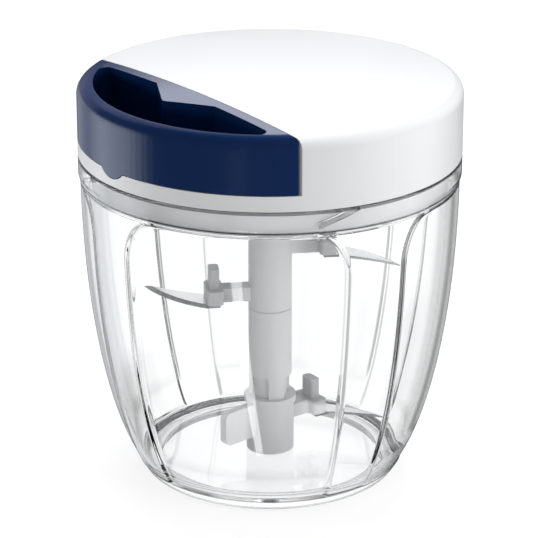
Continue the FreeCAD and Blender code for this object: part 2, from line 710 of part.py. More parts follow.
def make_cover():
    """White lid cover: domed shell, flat front wall and ledge for the handle, arbor and screw bosses."""
    outer = dome("cover_form", 0)
    shell = cut("cover_shell", outer, [dome("cover_hollow", D.cover_wall)])
    wide = D.lid_radius + D.cover_wall
    tall = EDGE + D.dome_rise + D.cover_wall
    front = shared("cover_front", outer, block("cover_front_box", (-1 * wide, -1 * wide, LEDGE_LOW),
                                               (wide, -1 * FRONT, tall)))
    backing_low = PLATE_TOP + D.base_lip + D.fit_gap
    backing_half = D.tongue_width / 2 + D.handle_gap + D.notch_wall
    backing_line = D.lid_radius - D.tongue_thick - D.handle_gap - D.notch_wall
    backing = block("cover_backing", (-1 * backing_half, -1 * COVER_BORE - D.fit_gap, backing_low),
                    (backing_half, -1 * backing_line, LEDGE_LOW + D.fit_gap))
    ceiling = EDGE - D.cover_wall / 2
    solids = [shell, front, backing]
    bores = []
    for index, turn in enumerate(screw_places()):
        solids.append(beside(f"cover_post_{index}", BOSS_RADIUS, D.seam_height, ceiling, turn))
        screw_top = PLATE_LOW + D.screw_length + D.fit_gap
        bore = D.screw_radius + D.press_gap
        bores.append(beside(f"cover_bore_{index}", bore, D.seam_height, screw_top, turn))
    crest = ceiling + D.dome_rise
    solids.append(cylinder("cover_arbor", D.arbor_radius, ARBOR_LOW, crest))
    solids.append(cylinder("cover_boss", D.arbor_boss, SPOOL_TOP + 3 * D.step_gap, crest))
    bores.append(cylinder("cover_axle_bore", D.axle_radius + D.press_gap, ARBOR_LOW, AXLE_TOP))
    bores.append(lying("cover_eyelet_bore", EYELET_RADIUS + D.press_gap, CORD_LEVEL, FRONT, D.handle_line))
    bores.append(block("cover_step", (-1 * wide, -1 * wide, LEDGE), (wide, -1 * D.handle_line, tall)))
    bores.append(make_tongue("cover_notch", D.handle_gap, HANDLE_LOW))
    return cut("lid_cover", joined("cover_solids", solids), bores)


def make_handle():
    """Navy crescent handle: lid-shaped outside, finger pocket with a three-sided boss, tongue below."""
    wide = D.lid_radius
    tall = EDGE + D.dome_rise + D.cover_wall
    corner_line = HANDLE_BACK + D.end_round
    corner_reach = D.lid_radius - D.end_round
    corner = root(corner_reach * corner_reach - corner_line * corner_line)
    touch = D.lid_radius / corner_reach
    plan = raised("handle_plan", [
        (corner, -1 * HANDLE_BACK), (-1 * corner, -1 * HANDLE_BACK, D.end_round),
        (-1 * corner * touch, -1 * corner_line * touch, wide),
        (corner * touch, -1 * corner_line * touch, D.end_round)], HANDLE_LOW, tall)
    form = shared("handle_form", dome("handle_dome", 0), plan)
    tongue = make_tongue("handle_tongue", Size(0, "0"), HANDLE_LOW + D.end_round)
    skin = cylinder("handle_skin", D.lid_radius, D.seam_height, HANDLE_LOW + D.cover_wall)
    tongue = shared("handle_tongue_form", tongue, skin)

    tip_line = POCKET_LINE + D.pocket_round
    tip_reach = POCKET_RADIUS - D.pocket_round
    tip = root(tip_reach * tip_reach - tip_line * tip_line)
    stretch = POCKET_RADIUS / tip_reach
    nose_x = D.boss_round * sine(D.boss_angle)
    nose_line = POCKET_LINE + D.boss_reach - D.boss_round + D.boss_round * cosine(D.boss_angle)
    foot = nose_x + (nose_line - POCKET_LINE) * cosine(D.boss_angle) / sine(D.boss_angle)
    pocket = raised("handle_pocket", [
        (tip, -1 * POCKET_LINE), (foot, -1 * POCKET_LINE),
        (nose_x, -1 * nose_line, -1 * D.boss_round), (-1 * nose_x, -1 * nose_line),
        (-1 * foot, -1 * POCKET_LINE), (-1 * tip, -1 * POCKET_LINE, D.pocket_round),
        (-1 * tip * stretch, -1 * tip_line * stretch, POCKET_RADIUS),
        (tip * stretch, -1 * tip_line * stretch, D.pocket_round)], POCKET_FLOOR, tall)
    bore = lying("handle_cord_bore", CORD_BORE, CORD_LEVEL, HANDLE_BACK, FERRULE_LINE)
    seat = lying("handle_stop_bore", D.ferrule_radius + D.fit_gap, CORD_LEVEL, FERRULE_LINE,
                 POCKET_LINE + D.boss_reach + D.boss_round)
    return cut("pull_handle", joined("handle_solids", [form, tongue]), [pocket, bore, seat])


def make_lid_base():
    """White lid base: plate with a flange in the cover, a skirt in the bowl's mouth and four ramps."""
    inner = SKIRT_RADIUS - D.skirt_wall
    hole = BUSH_RADIUS + D.press_gap
    plate = turned("base_plate", [
        (hole, PLATE_LOW), (inner, PLATE_LOW), (inner, SKIRT_LOW), (SKIRT_RADIUS, SKIRT_LOW),
        (SKIRT_RADIUS, PLATE_TOP), (COVER_BORE - D.fit_gap, PLATE_TOP),
        (COVER_BORE - D.fit_gap, PLATE_TOP + D.base_lip), (inner, PLATE_TOP + D.base_lip),
        (inner, PLATE_TOP), (hole, PLATE_TOP)])
    bar = ramp(number(SKIRT_RADIUS - D.ramp_root), number(SKIRT_RADIUS + D.ramp_reach),
               number(RAMP_MIDDLE), number(SKIRT_LOW), number(PLATE_LOW))
    ramps = [shaped(f"base_ramp_{index}", copy) for index, copy in enumerate(around(bar, D.ramp_count))]
    holes = [beside(f"base_hole_{index}", HOLE_RADIUS, PLATE_LOW, PLATE_TOP, turn)
             for index, turn in enumerate(screw_places())]
    return cut("lid_base", joined("base_solids", [plate] + ramps), holes)


def make_seal():
    """Soft ring between the skirt and the bowl's mouth."""
    return tube("sealing_ring", MOUTH_RADIUS - D.seal_gap, SKIRT_RADIUS + D.seal_gap, SEAL_LOW, MOUTH)


def make_bush():
    """Flanged bush that the drive hub turns in."""
    return turned("hub_bush", [
        (BUSH_BORE, PLATE_LOW), (BUSH_RADIUS, PLATE_LOW), (BUSH_RADIUS, PLATE_TOP),
        (BUSH_BORE + D.bush_flange, PLATE_TOP), (BUSH_BORE + D.bush_flange, BUSH_TOP), (BUSH_BORE, BUSH_TOP)])


def hexagon(flats):
    """Corners of a six-sided bar with a flat towards +X."""
    corner = flats / (2 * cosine(30))
    return [(corner * cosine(60 * index + 30), corner * sine(60 * index + 30)) for index in range(6)]


def make_drive_hub():
    """Drive hub: stem with a six-sided socket below, and a cup of saw teeth above."""
    blank = turned("hub_blank", [
        (0, HUB_LOW), (D.hub_radius, HUB_LOW), (D.hub_radius, CUP_LOW), (D.cup_radius, CUP_LOW),
        (D.cup_radius, CUP_TOP), (0, CUP_TOP)])
    count = int(number(D.tooth_count))
    step = 360 / D.tooth_count
    valley = D.cup_radius - D.cup_wall
    saw = []
    for index in range(count):
        angle = D.tooth_place_angle + 270 + step * index
        saw.append((valley * cosine(angle), valley * sine(angle)))
        saw.append(((valley - D.tooth_depth) * cosine(angle), (valley - D.tooth_depth) * sine(angle)))
    teeth = raised("hub_teeth", saw, CUP_FLOOR, CUP_TOP)
    socket = raised("hub_socket", hexagon(D.head_flats + D.head_play), HUB_LOW, SOCKET_TOP)
    bore = cylinder("hub_axle_bore", AXLE_BORE, AXLE_LOW, CUP_FLOOR)
    return cut("drive_hub", blank, [teeth, socket, bore])


def make_washer():
    """Slippery washer that the spool rests on."""
    return tube("thrust_washer", D.washer_radius, AXLE_BORE, CUP_FLOOR, WASHER_TOP)


# Each pawl's name and the direction of its post
POSTS = [("front_pawl", 270), ("rear_pawl", 90)]


def make_spool():
    """Cord spool: flanged drum that holds the spring, with two posts for the pawls."""
    drum = turned("spool_drum", [
        (AXLE_BORE, WASHER_TOP + D.fit_gap), (D.washer_radius, WASHER_TOP + D.fit_gap),
        (D.washer_radius, SPOOL_LOW), (D.flange_radius, SPOOL_LOW), (D.flange_radius, DRUM_LOW),
        (D.drum_radius, DRUM_LOW), (D.drum_radius, DRUM_TOP), (D.flange_radius, DRUM_TOP),
        (D.flange_radius, SPOOL_TOP), (BARREL_RADIUS, SPOOL_TOP), (BARREL_RADIUS, BARREL_FLOOR),
        (AXLE_BORE, BARREL_FLOOR)])
    posts = [cylinder(f"spool_{name}_post", D.post_radius, PAWL_LOW, SPOOL_LOW + D.fit_gap,
                      D.pawl_line * cosine(turn), D.pawl_line * sine(turn)) for name, turn in POSTS]
    return joined("spool", [drum] + posts)


def make_pawl(name, turn):
    """Pawl of the one-way clutch, folded in on its post."""
    half = D.pawl_width / 2
    inner = D.pawl_reach - D.pawl_nose
    side_x = half * sine(D.pawl_lean_angle)
    side_y = half * cosine(D.pawl_lean_angle)
    arm = raised(name + "_arm", [
        (-1 * side_x, side_y), (side_x, -1 * side_y),
        (D.pawl_reach * cosine(D.pawl_angle) - D.pawl_line, D.pawl_reach * sine(D.pawl_angle)),
        (inner * cosine(D.pawl_angle) - D.pawl_line, inner * sine(D.pawl_angle))], PAWL_LOW, PAWL_TOP)
    eye = cylinder(name + "_eye", half, PAWL_LOW, PAWL_TOP)
    bore = cylinder(name + "_bore", D.post_radius + D.running_gap, PAWL_LOW, PAWL_TOP)
    pawl = cut(name, joined(name + "_solid", [arm, eye]), [bore])
    swing(pawl, D.pawl_fold_angle + turn)
    bind(pawl, "Placement.Base.x", D.pawl_line * cosine(turn))
    bind(pawl, "Placement.Base.y", D.pawl_line * sine(turn))
    return pawl


def make_spring():
    """Flat spiral spring from the arbor to the drum, as half turns about two centres."""
    half = number(D.spring_thick) / 2
    step = number(D.spring_pitch) / 2
    start = number(D.arbor_radius + D.step_gap) + half
    low = number(ARBOR_LOW)
    rows = []
    for offset in (-half, half):
        edges = []
        for index in range(int(2 * number(D.spring_turns))):
            radius = start + step * index + offset
            first = 180 * (index % 2)
            centre = Vector(step * (index % 2), 0, low)
            edges.append(Part.makeCircle(radius, centre, UP, first, first + 180))
        rows.append(edges)
    ends = []
    for index, key in ((0, "FirstParameter"), (-1, "LastParameter")):
        points = [edges[index].valueAt(getattr(edges[index], key)) for edges in rows]
        ends.append(Part.makeLine(*points))
    face = Part.Face(Part.Wire(Part.__sortEdges__(rows[0] + rows[1] + ends)))
    return shaped("spiral_spring", face.extrude(UP * number(D.spring_width)))


def make_cap():
    """Cap that keeps the spring in its barrel."""
    return tube("spring_cap", BARREL_RADIUS - D.fit_gap, D.arbor_radius + D.step_gap,
                SPOOL_TOP - D.cap_thick, SPOOL_TOP)


def make_axle():
    """Steel axle of spool and drive hub, pressed into the cover's arbor."""
    return cylinder("axle_pin", D.axle_radius, AXLE_LOW + D.step_gap, AXLE_TOP)


def make_winding():
    """Turns of cord on the drum."""
    inner = D.drum_radius + D.press_gap
    middle = D.drum_radius + D.cord_radius
    bulge = D.cord_radius * 1.1
    corners = [(inner, WINDING_LOW)]
    for index in range(int(number(D.cord_turns))):
        corners.append((middle, WINDING_LOW + 2 * index * D.cord_radius, bulge))
    corners += [(middle, WINDING_TOP), (inner, WINDING_TOP)]
    return turned("cord_winding", corners)


def make_cord():
    """Free cord: off the drum, round the eyelet's mouth and out to the stop in the handle."""
    radius = number(D.cord_radius)
    drum = number(D.drum_radius + D.cord_play) + radius
    mouth = number(D.eyelet_round + D.cord_play) + radius
    level = UP * number(CORD_LEVEL)
    centre = Vector(-mouth, -number(FRONT), 0)
    lean = math.asin((drum + mouth) / centre.Length) - math.atan2(mouth, number(FRONT))
    way = Vector(math.sin(lean), -math.cos(lean), 0)
    left = Vector(-way.y, way.x, 0)
    start = level - left * drum
    bend = level + centre + left * mouth
    crest = level + centre + Vector(mouth * math.cos(lean / 2), mouth * math.sin(lean / 2), 0)
    straight = level + centre + OUT * mouth
    end = level - SIDE * number(FERRULE_LINE)
    turn = Part.Arc(bend, crest, straight).toShape()
    edges = [Part.makeLine(start, bend), turn, Part.makeLine(straight, end)]
    path = Part.Wire(edges)
    section = Part.Wire(Part.makeCircle(radius, start, way))
    cord = path.makePipeShell([section], True, False)
    expected = math.pi * radius * radius * path.Length
    print(f"cord_run: length {path.Length:.2f}, bend radius {mouth:.2f}, "
          f"volume {cord.Volume:.2f} of {expected:.2f}")
    return shaped("cord_run", cord)


def make_eyelet():
    """Flanged eyelet in the lid's front wall, rounded where the cord turns."""
    mouth = CORD_BORE + D.eyelet_round
    rim = mouth + D.eyelet_flange
    inner = FRONT - D.eyelet_round
    eyelet = turned("cord_eyelet", [
        (CORD_BORE, FRONT), (CORD_BORE, D.handle_line), (EYELET_RADIUS, D.handle_line), (EYELET_RADIUS, FRONT),
        (rim, FRONT), (rim, inner), (mouth, inner, -1 * D.eyelet_round)])
    eyelet.Placement = Placement(Vector(), Rotation(OUT, 90))
    bind(eyelet, "Placement.Base.z", CORD_LEVEL)
    return eyelet


def make_ferrule():
    """Crimped stop at the cord's end."""
    return lying("cord_ferrule", D.ferrule_radius, CORD_LEVEL, FERRULE_LINE, FERRULE_LINE + D.ferrule_length)


def make_screws():
    """Four screws that hold the lid base to the cover."""
    screws = []
    for index, turn in enumerate(screw_places()):
        screw = turned(f"lid_screw_{index}", [
            (0, PLATE_LOW - D.head_height), (D.screw_radius, PLATE_LOW - D.head_height, D.screw_head),
            (D.screw_head, PLATE_LOW - D.head_height / 3), (D.screw_head, PLATE_LOW),
            (D.screw_radius, PLATE_LOW), (D.screw_radius, PLATE_LOW + D.screw_length - D.screw_radius),
            (0, PLATE_LOW + D.screw_length)])
        bind(screw, "Placement.Base.x", SCREW_LINE * cosine(turn))
        bind(screw, "Placement.Base.y", SCREW_LINE * sine(turn))
        screws.append(screw)
    return grouped("lid_screws", screws)


def make_holder(name, level, turn, reach):
    """Arm with a blade holder and its fin on top, and the hole for the rivet that holds the blade below."""
    low = level + D.blade_thick
    high = low + D.arm_height
    inner = reach - D.holder_depth
    fin = reach - (D.holder_depth - D.fin_thick) / 2
    arm = block(name + "_arm", (D.rod_radius + D.fin_thick, -1 * D.arm_width / 2, low),
                (inner + D.holder_round, D.arm_width / 2, high))
    holder = rounded(name + "_holder", inner, reach, D.holder_length / 2, D.holder_round, low, high)
    tab = rounded(name + "_fin", fin - D.fin_thick, fin, D.fin_length / 2, D.fin_round,
                  high - D.fit_gap, high + D.fin_height)
    line = reach - D.blade_grip / 2
    hole = cylinder(name + "_hole", D.rivet_radius + D.press_gap, low, level + D.rivet_length + D.fit_gap,
                    line * cosine(turn), line * sine(turn))
    return swing(joined(name + "_solids", [arm, holder, tab]), turn), hole


def make_blade(name, level, turn, reach, tip, sweep):
    """Sickle blade: curved back, longer curved edge with a ground bevel, pointed tip behind its arm."""
    start = reach - D.blade_grip
    half = D.blade_root / 2
    blade = raised(name + "_blank", [
        (start, half), (reach, half, -1 * D.front_arc), (tip, -1 * sweep, D.back_arc),
        (reach, -1 * half), (start, -1 * half)], level, level + D.blade_thick)
    doc.recompute()
    pad = blade.Tip
    top = number(level + D.blade_thick)
    edges = [f"Edge{index}" for index, edge in enumerate(pad.Shape.Edges, start=1)
             if edge.BoundBox.ZMin > top - 1e-6 and isinstance(edge.Curve, Part.Circle)
             and abs(edge.Curve.Radius - number(D.front_arc)) < 1e-6]
    bevel = blade.newObject("PartDesign::Chamfer", name + "_bevel")
    bevel.Base = (pad, edges)
    bevel.ChamferType = "Two distances"
    bind(bevel, "Size", D.bevel_depth)
    bind(bevel, "Size2", D.bevel_width)
    blade.Tip = bevel
    hole = cylinder(name + "_hole", D.rivet_radius + D.press_gap, level, level + D.blade_thick,
                    reach - D.blade_grip / 2)
    return swing(cut(name, blade, [hole]), turn)


# Each blade's name, the height of its underside, its arm's direction and its holder's outer end
BLADES = [
    ("upper", D.upper_level, D.upper_arm_angle, D.arm_reach),
    ("middle", D.middle_level, D.middle_arm_angle, D.arm_reach),
    ("lower", D.lower_level, D.lower_arm_angle, D.lower_reach),
]


def make_rivets():
    """One rivet under each blade."""
    rivets = []
    for name, level, turn, reach in BLADES:
        rivet = turned(name + "_rivet", [
            (0, level - D.rivet_cap), (D.rivet_radius, level - D.rivet_cap, D.rivet_head),
            (D.rivet_head, level), (D.rivet_radius, level), (D.rivet_radius, level + D.rivet_length),
            (0, level + D.rivet_length)])
        line = reach - D.blade_grip / 2
        bind(rivet, "Placement.Base.x", line * cosine(turn))
        bind(rivet, "Placement.Base.y", line * sine(turn))
        rivets.append(rivet)
    return grouped("blade_rivets", rivets)


def make_shaft():
    """Upper tube with the six-sided drive head and two blade arms."""
    tube_low = D.shaft_seam + D.shaft_gap / 2
    barrel = cylinder("shaft_tube", D.shaft_radius, tube_low, SHAFT_TOP)
    head = raised("shaft_head", hexagon(D.head_flats), SHAFT_TOP - D.fit_gap, HEAD_TOP)
    bore = cylinder("shaft_bore", D.rod_radius + D.press_gap, tube_low, ROD_TOP)
    holders = [make_holder(*blade) for blade in BLADES[:2]]
    solids = [barrel, head] + [holder[0] for holder in holders]
    return cut("blade_shaft", joined("shaft_solids", solids), [bore] + [holder[1] for holder in holders])


def legs(name, low, high, gap):
    """The sectors between the windows, with a gap at their sides."""
    reach = D.nut_radius + D.collar_lip
    half = 180 / D.window_count - D.window_angle / 2
    sectors = []
    for index in range(int(number(D.window_count))):
        sector = raised(f"{name}_{index}", [
            (0, 0), (reach * cosine(half), -1 * reach * sine(half) - gap, 2 * reach),
            (reach * cosine(half), reach * sine(half) + gap)], low, high)
        sectors.append(swing(sector, D.leg_place_angle + 360 / D.window_count * index))
    return joined(name, sectors)


def make_sleeve():
    """Lower tube: three legs between tall windows stand in the hub's collar."""
    window_top = D.collar_top + D.window_height
    leg_low = D.collar_top - D.dog_depth
    seam = D.shaft_seam - D.shaft_gap / 2
    inner = D.shaft_radius - D.leg_wall
    whole = turned("sleeve_tube", [
        (inner, leg_low), (D.shaft_radius, leg_low), (D.shaft_radius, seam), (D.rod_radius + D.press_gap, seam),
        (D.rod_radius + D.press_gap, window_top), (inner, window_top)])
    above = cylinder("sleeve_above", D.nut_radius, window_top, D.shaft_seam)
    keep = joined("sleeve_keep", [above, legs("sleeve_legs", leg_low, window_top + D.fit_gap, 0)])
    return shared("blade_sleeve", whole, keep)


def make_hub():
    """Blade hub on the pivot pin: collar with seats for the legs, a spigot, a blade arm and a paddle."""
    spigot = D.shaft_radius - D.leg_wall - D.fit_gap
    spigot_top = D.collar_top + D.window_height - D.fit_gap
    lip = D.nut_radius + D.collar_lip
    outside = turned("hub_outside", [
        (0, NUT_LOW), (D.nut_radius, NUT_LOW), (D.nut_radius, D.collar_top - D.collar_thick),
        (lip, D.collar_top - D.collar_thick), (lip, D.collar_top), (spigot, D.collar_top),
        (spigot, spigot_top), (0, spigot_top)])
    paddle_high = D.paddle_low + D.paddle_height
    inner = D.pin_radius + D.pivot_wall + D.fin_round
    paddle = upright("hub_paddle", [
        (inner, D.paddle_low), (D.paddle_reach - D.paddle_round, D.paddle_low, D.paddle_round),
        (D.paddle_reach, D.paddle_low + D.paddle_round),
        (D.paddle_reach, paddle_high - D.paddle_round, D.paddle_round),
        (D.paddle_reach - D.paddle_round, paddle_high), (inner, paddle_high)], D.paddle_thick)
    holder = make_holder(*BLADES[2])
    seat_low = D.collar_top - D.dog_depth
    seats = shared("hub_seats", legs("hub_seat", seat_low, D.collar_top, D.fit_gap),
                   tube("hub_seat_ring", D.shaft_radius + D.fit_gap, spigot, seat_low, D.collar_top))
    bush_radius = D.pin_radius + D.pivot_wall + D.press_gap
    stub_bore = D.stub_radius + D.stub_play
    bush_low = STUB_TOP + D.stub_play
    bores = [
        cylinder("hub_stub_bore", stub_bore, NUT_LOW, bush_low),
        cylinder("hub_bush_bore", bush_radius, bush_low, NUT_CEILING),
        cylinder("hub_rod_bore", D.rod_radius + D.press_gap, ROD_LOW, spigot_top),
    ]
    solids = [outside, swing(paddle, D.paddle_place_angle), holder[0]]
    return cut("blade_hub", joined("hub_solids", solids), bores + [seats, holder[1]])


def make_pivot_bush():
    """Bush in the blade hub that turns on the pivot pin."""
    return tube("pivot_bush", D.pin_radius + D.pivot_wall, D.pin_radius + D.running_gap,
                STUB_TOP + D.stub_play, NUT_CEILING)


def make_rod():
    """Steel rod that stiffens the blade unit."""
    return cylinder("shaft_core", D.rod_radius, ROD_LOW, ROD_TOP)


PARTS = [make_bowl(), make_foot(), make_pivot(), make_cover(), make_lid_base(), make_handle(), make_seal()]
PARTS += [make_bush(), make_drive_hub(), make_washer(), make_spool(), make_spring(), make_cap(), make_axle()]
PARTS += [make_pawl(name, turn) for name, turn in POSTS]
PARTS += [make_winding(), make_cord(), make_eyelet(), make_ferrule(), make_screws()]
PARTS += [make_shaft(), make_sleeve(), make_hub(), make_pivot_bush(), make_rod(), make_rivets()]
for name, level, turn, reach in BLADES:
    low_blade = name == "lower"
    tip = D.low_tip_reach if low_blade else D.tip_reach
    sweep = D.low_tip_back if low_blade else D.tip_back
    PARTS.append(make_blade(name + "_blade", level, turn, reach, tip, sweep))

doc.recompute()
for item in doc.Objects:
    if "Invalid" in item.State or "Error" in item.State:
        raise RuntimeError(f"{item.Name} failed: {item.State}")
for part in PARTS:
    if part.Shape.isNull() or not part.Shape.isValid() or not part.Shape.Solids:
        raise RuntimeError(f"{part.Name} has no valid shape")

os.makedirs("parts", exist_ok=True)
for part in PARTS:
    part.Label = part.Name
    part.Shape.exportStep(f"parts/{part.Label}.step")
    box = part.Shape.BoundBox
    print(f"{part.Label}: {len(part.Shape.Solids)} solid, volume {part.Shape.Volume:.1f}, "
          f"z {box.ZMin:.2f} to {box.ZMax:.2f}, reach {max(box.XMax, -box.XMin, box.YMax, -box.YMin):.2f}")
print(f"winding radius {number(D.drum_radius + D.cord_radius):.3f}, cord level {number(CORD_LEVEL):.3f}")
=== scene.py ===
"""Pull-string food chopper: the finishes, bowl, pull cord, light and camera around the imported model."""

import json
import math

import bpy
import numpy as np
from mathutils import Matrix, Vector


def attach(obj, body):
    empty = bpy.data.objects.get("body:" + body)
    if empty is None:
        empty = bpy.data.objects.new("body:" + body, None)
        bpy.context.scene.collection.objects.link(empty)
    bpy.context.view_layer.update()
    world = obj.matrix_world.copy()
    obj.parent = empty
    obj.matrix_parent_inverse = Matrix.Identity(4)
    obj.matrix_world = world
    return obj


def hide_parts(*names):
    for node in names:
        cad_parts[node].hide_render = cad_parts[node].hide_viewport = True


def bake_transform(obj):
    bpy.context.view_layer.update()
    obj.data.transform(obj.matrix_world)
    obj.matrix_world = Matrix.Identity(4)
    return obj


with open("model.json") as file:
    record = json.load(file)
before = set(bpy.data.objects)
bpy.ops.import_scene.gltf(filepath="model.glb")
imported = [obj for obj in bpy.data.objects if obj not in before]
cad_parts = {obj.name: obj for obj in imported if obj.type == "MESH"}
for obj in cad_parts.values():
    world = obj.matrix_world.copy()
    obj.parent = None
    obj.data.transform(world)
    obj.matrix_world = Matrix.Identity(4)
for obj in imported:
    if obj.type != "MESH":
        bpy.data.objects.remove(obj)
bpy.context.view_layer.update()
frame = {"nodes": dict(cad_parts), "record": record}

MM = 0.001

# Colours as linear light, red, green and blue.
WHITE_MOULDING = (0.83, 0.834, 0.844)
NAVY_MOULDING = (0.0045, 0.022, 0.092)
# Painted shade for deep in the handle's pocket.
NAVY_POCKET_SHADE = (0.0012, 0.0115, 0.052)
MILKY_MOULDING = (0.61, 0.61, 0.62)
# Painted shade along the blade unit's arms, and painted light at its paddle and lower arm.
MILKY_ARMS_SHADE = (0.47, 0.47, 0.48)
MILKY_LOW_LIT = (0.82, 0.82, 0.83)
ACETAL = (0.70, 0.70, 0.69)
CLEAR_WALL = (0.985, 0.99, 0.992)
# Painted shade of the clear wall: where it is seen along itself, on the panels' edges, in the groove and at
# its rim.
CLEAR_GRAZE_SHADE = (0.62, 0.63, 0.64)
CLEAR_STEP_SHADE = (0.012, 0.013, 0.015)
CLEAR_RIM_SHADE = (0.12, 0.125, 0.13)
SOFT_FOOT = (0.96, 0.965, 0.97)
BLADE_STEEL = (0.93, 0.94, 0.95)
BLADE_EDGE = (0.36, 0.365, 0.37)
TURNED_STEEL = (0.50, 0.50, 0.51)
SPRING_STEEL = (0.20, 0.22, 0.27)
NYLON = (0.74, 0.74, 0.71)
SILICONE = (0.72, 0.73, 0.74)
TABLE_GREY = (0.30, 0.30, 0.30)


def maths(tree, operation, *values):
    """One math node, with sockets or plain numbers going in."""
    made = tree.nodes.new("ShaderNodeMath")
    made.operation = operation
    for socket, value in zip(made.inputs, values):
        if isinstance(value, (int, float)):
            socket.default_value = value
        else:
            tree.links.new(value, socket)
    return made.outputs[0]


def choose(tree, switch, yes, no):
    """The value yes where the switch is 1, and no where it is 0."""
    keep = maths(tree, "MULTIPLY", maths(tree, "SUBTRACT", 1.0, switch), no)
    return maths(tree, "ADD", maths(tree, "MULTIPLY", switch, yes), keep)


def between(tree, value, full, none):
    """1 up to full, falling smoothly to 0 at none."""
    ramp = tree.nodes.new("ShaderNodeMapRange")
    ramp.interpolation_type = "SMOOTHSTEP"
    ramp.inputs["From Min"].default_value = full
    ramp.inputs["From Max"].default_value = none
    ramp.inputs["To Min"].default_value = 1.0
    ramp.inputs["To Max"].default_value = 0.0
    tree.links.new(value, ramp.inputs["Value"])
    return ramp.outputs["Result"]


def astray(tree, angle, middle, period):
    """How far an angle is from middle, or from middle plus any number of periods, all in radians."""
    away = maths(tree, "SUBTRACT", angle, middle)
    return maths(tree, "ABSOLUTE", maths(tree, "WRAP", away, period / 2, -period / 2))


def window(tree, angle, middle, half, soft):
    """1 where angle, in radians, is within half of middle, falling to 0 over soft, all three in degrees."""
    away = astray(tree, angle, math.radians(middle), 2 * math.pi)
    return between(tree, away, math.radians(half), math.radians(half + soft))


class Finish:
    """A material with its shader, and short ways to add nodes to it."""

    def __init__(self, name):
        self.material = bpy.data.materials.new(name)
        self.material.use_nodes = True
        self.tree = self.material.node_tree
        self.shader = self.tree.nodes["Principled BSDF"]
        self.place = self.node("ShaderNodeTexCoord").outputs["Object"]

    def node(self, kind, **settings):
        made = self.tree.nodes.new(kind)
        for name, value in settings.items():
            setattr(made, name, value)
        return made

    def link(self, out, into):
        self.tree.links.new(out, into)

    def fix(self, **values):
        """Sets the shader's own sockets, named with an underscore for each space."""
        for name, value in values.items():
            socket = self.shader.inputs[name.replace("_", " ")]
            socket.default_value = (*value, 1.0) if socket.type == "RGBA" else value

    def noise(self, scale, detail=3.0, rough=0.5, stretch=None):
        """Noise of that many cells a metre, with each axis scaled once more if stretch says so."""
        source = self.place
        if stretch is not None:
            mapping = self.node("ShaderNodeMapping")
            mapping.inputs["Scale"].default_value = stretch
            self.link(source, mapping.inputs["Vector"])
            source = mapping.outputs["Vector"]
        made = self.node("ShaderNodeTexNoise")
        made.inputs["Scale"].default_value = scale
        made.inputs["Detail"].default_value = detail
        made.inputs["Roughness"].default_value = rough
        self.link(source, made.inputs["Vector"])
        return made.outputs["Fac"]

    def span(self, value, low, high, start=0.3, end=0.7):
        """Carries value from the range start to end, where most of a noise lies, to that of low to high."""
        made = self.node("ShaderNodeMapRange")
        made.inputs["From Min"].default_value = start
        made.inputs["From Max"].default_value = end
        made.inputs["To Min"].default_value = low
        made.inputs["To Max"].default_value = high
        self.link(value, made.inputs["Value"])
        return made.outputs["Result"]

    def tint(self, value, low, high):
        """Colour from low to high as value goes from 0 to 1."""
        made = self.node("ShaderNodeMix", data_type="RGBA")
        made.inputs["A"].default_value = (*low, 1.0)
        made.inputs["B"].default_value = (*high, 1.0)
        self.link(value, made.inputs["Factor"])
        return made.outputs["Result"]

    def mix(self, share, colour, other):
        """The colour of a socket, turned to the other colour as share goes from 0 to 1."""
        made = self.node("ShaderNodeMix", data_type="RGBA")
        self.link(share, made.inputs["Factor"])
        self.link(colour, made.inputs["A"])
        made.inputs["B"].default_value = (*other, 1.0)
        return made.outputs["Result"]

    def colour(self, out):
        self.link(out, self.shader.inputs["Base Color"])

    def base(self):
        """The socket that the shader's colour comes from."""
        return self.shader.inputs["Base Color"].links[0].from_socket

    def roughness(self, out):
        self.link(out, self.shader.inputs["Roughness"])

    def bump(self, height, strength, depth):
        """Relief of that depth in metres, on top of any relief that the shader has."""
        made = self.node("ShaderNodeBump")
        made.inputs["Strength"].default_value = strength
        made.inputs["Distance"].default_value = depth
        if self.shader.inputs["Normal"].links:
            self.link(self.shader.inputs["Normal"].links[0].from_socket, made.inputs["Normal"])
        self.link(height, made.inputs["Height"])
        self.link(made.outputs["Normal"], self.shader.inputs["Normal"])

    def along(self, axis, source=None):
        """One part, X, Y or Z, of the place on the piece or of another vector."""
        split = self.node("ShaderNodeSeparateXYZ")
        self.link(self.place if source is None else source, split.inputs[0])
        return split.outputs[axis]

    def apart(self):
        """Distance from the Z axis."""
        squares = [maths(self.tree, "MULTIPLY", self.along(axis), self.along(axis)) for axis in ("X", "Y")]
        return maths(self.tree, "SQRT", maths(self.tree, "ADD", *squares))


def shade(colour, share):
    """The colour, scaled."""
    return tuple(min(1.0, part * share) for part in colour)


# Moulded plastic: cells a metre of its flow clouds and of the patches in its gloss, how far these change
# the gloss, and how strong the mould's grain is.
CLOUD_SCALE = 18.0
GLOSS_SCALE = 60.0
GLOSS_SWAY = 0.08
GRAIN_STRENGTH = 0.35


def moulded(name, colour, gloss, grain=2600.0, depth=0.000004, sway=0.02):
    """Injection-moulded plastic: an even colour with faint flow clouds, and the fine grain of the mould."""
    finish = Finish(name)
    clouds = finish.span(finish.noise(CLOUD_SCALE, detail=4.0), 0.0, 1.0)
    finish.colour(finish.tint(clouds, shade(colour, 1 - sway), shade(colour, 1 + sway)))
    patches = finish.noise(GLOSS_SCALE)
    finish.roughness(finish.span(patches, gloss * (1 - GLOSS_SWAY), gloss * (1 + GLOSS_SWAY)))
    finish.bump(finish.noise(grain, detail=2.0), GRAIN_STRENGTH, depth)
    return finish


def white_moulding():
    """The lid: satin white with a hard, slightly glossy skin."""
    finish = moulded("white_moulding", WHITE_MOULDING, gloss=0.34)
    finish.fix(IOR=1.5, Coat_Weight=0.15, Coat_Roughness=0.2)
    return finish.material


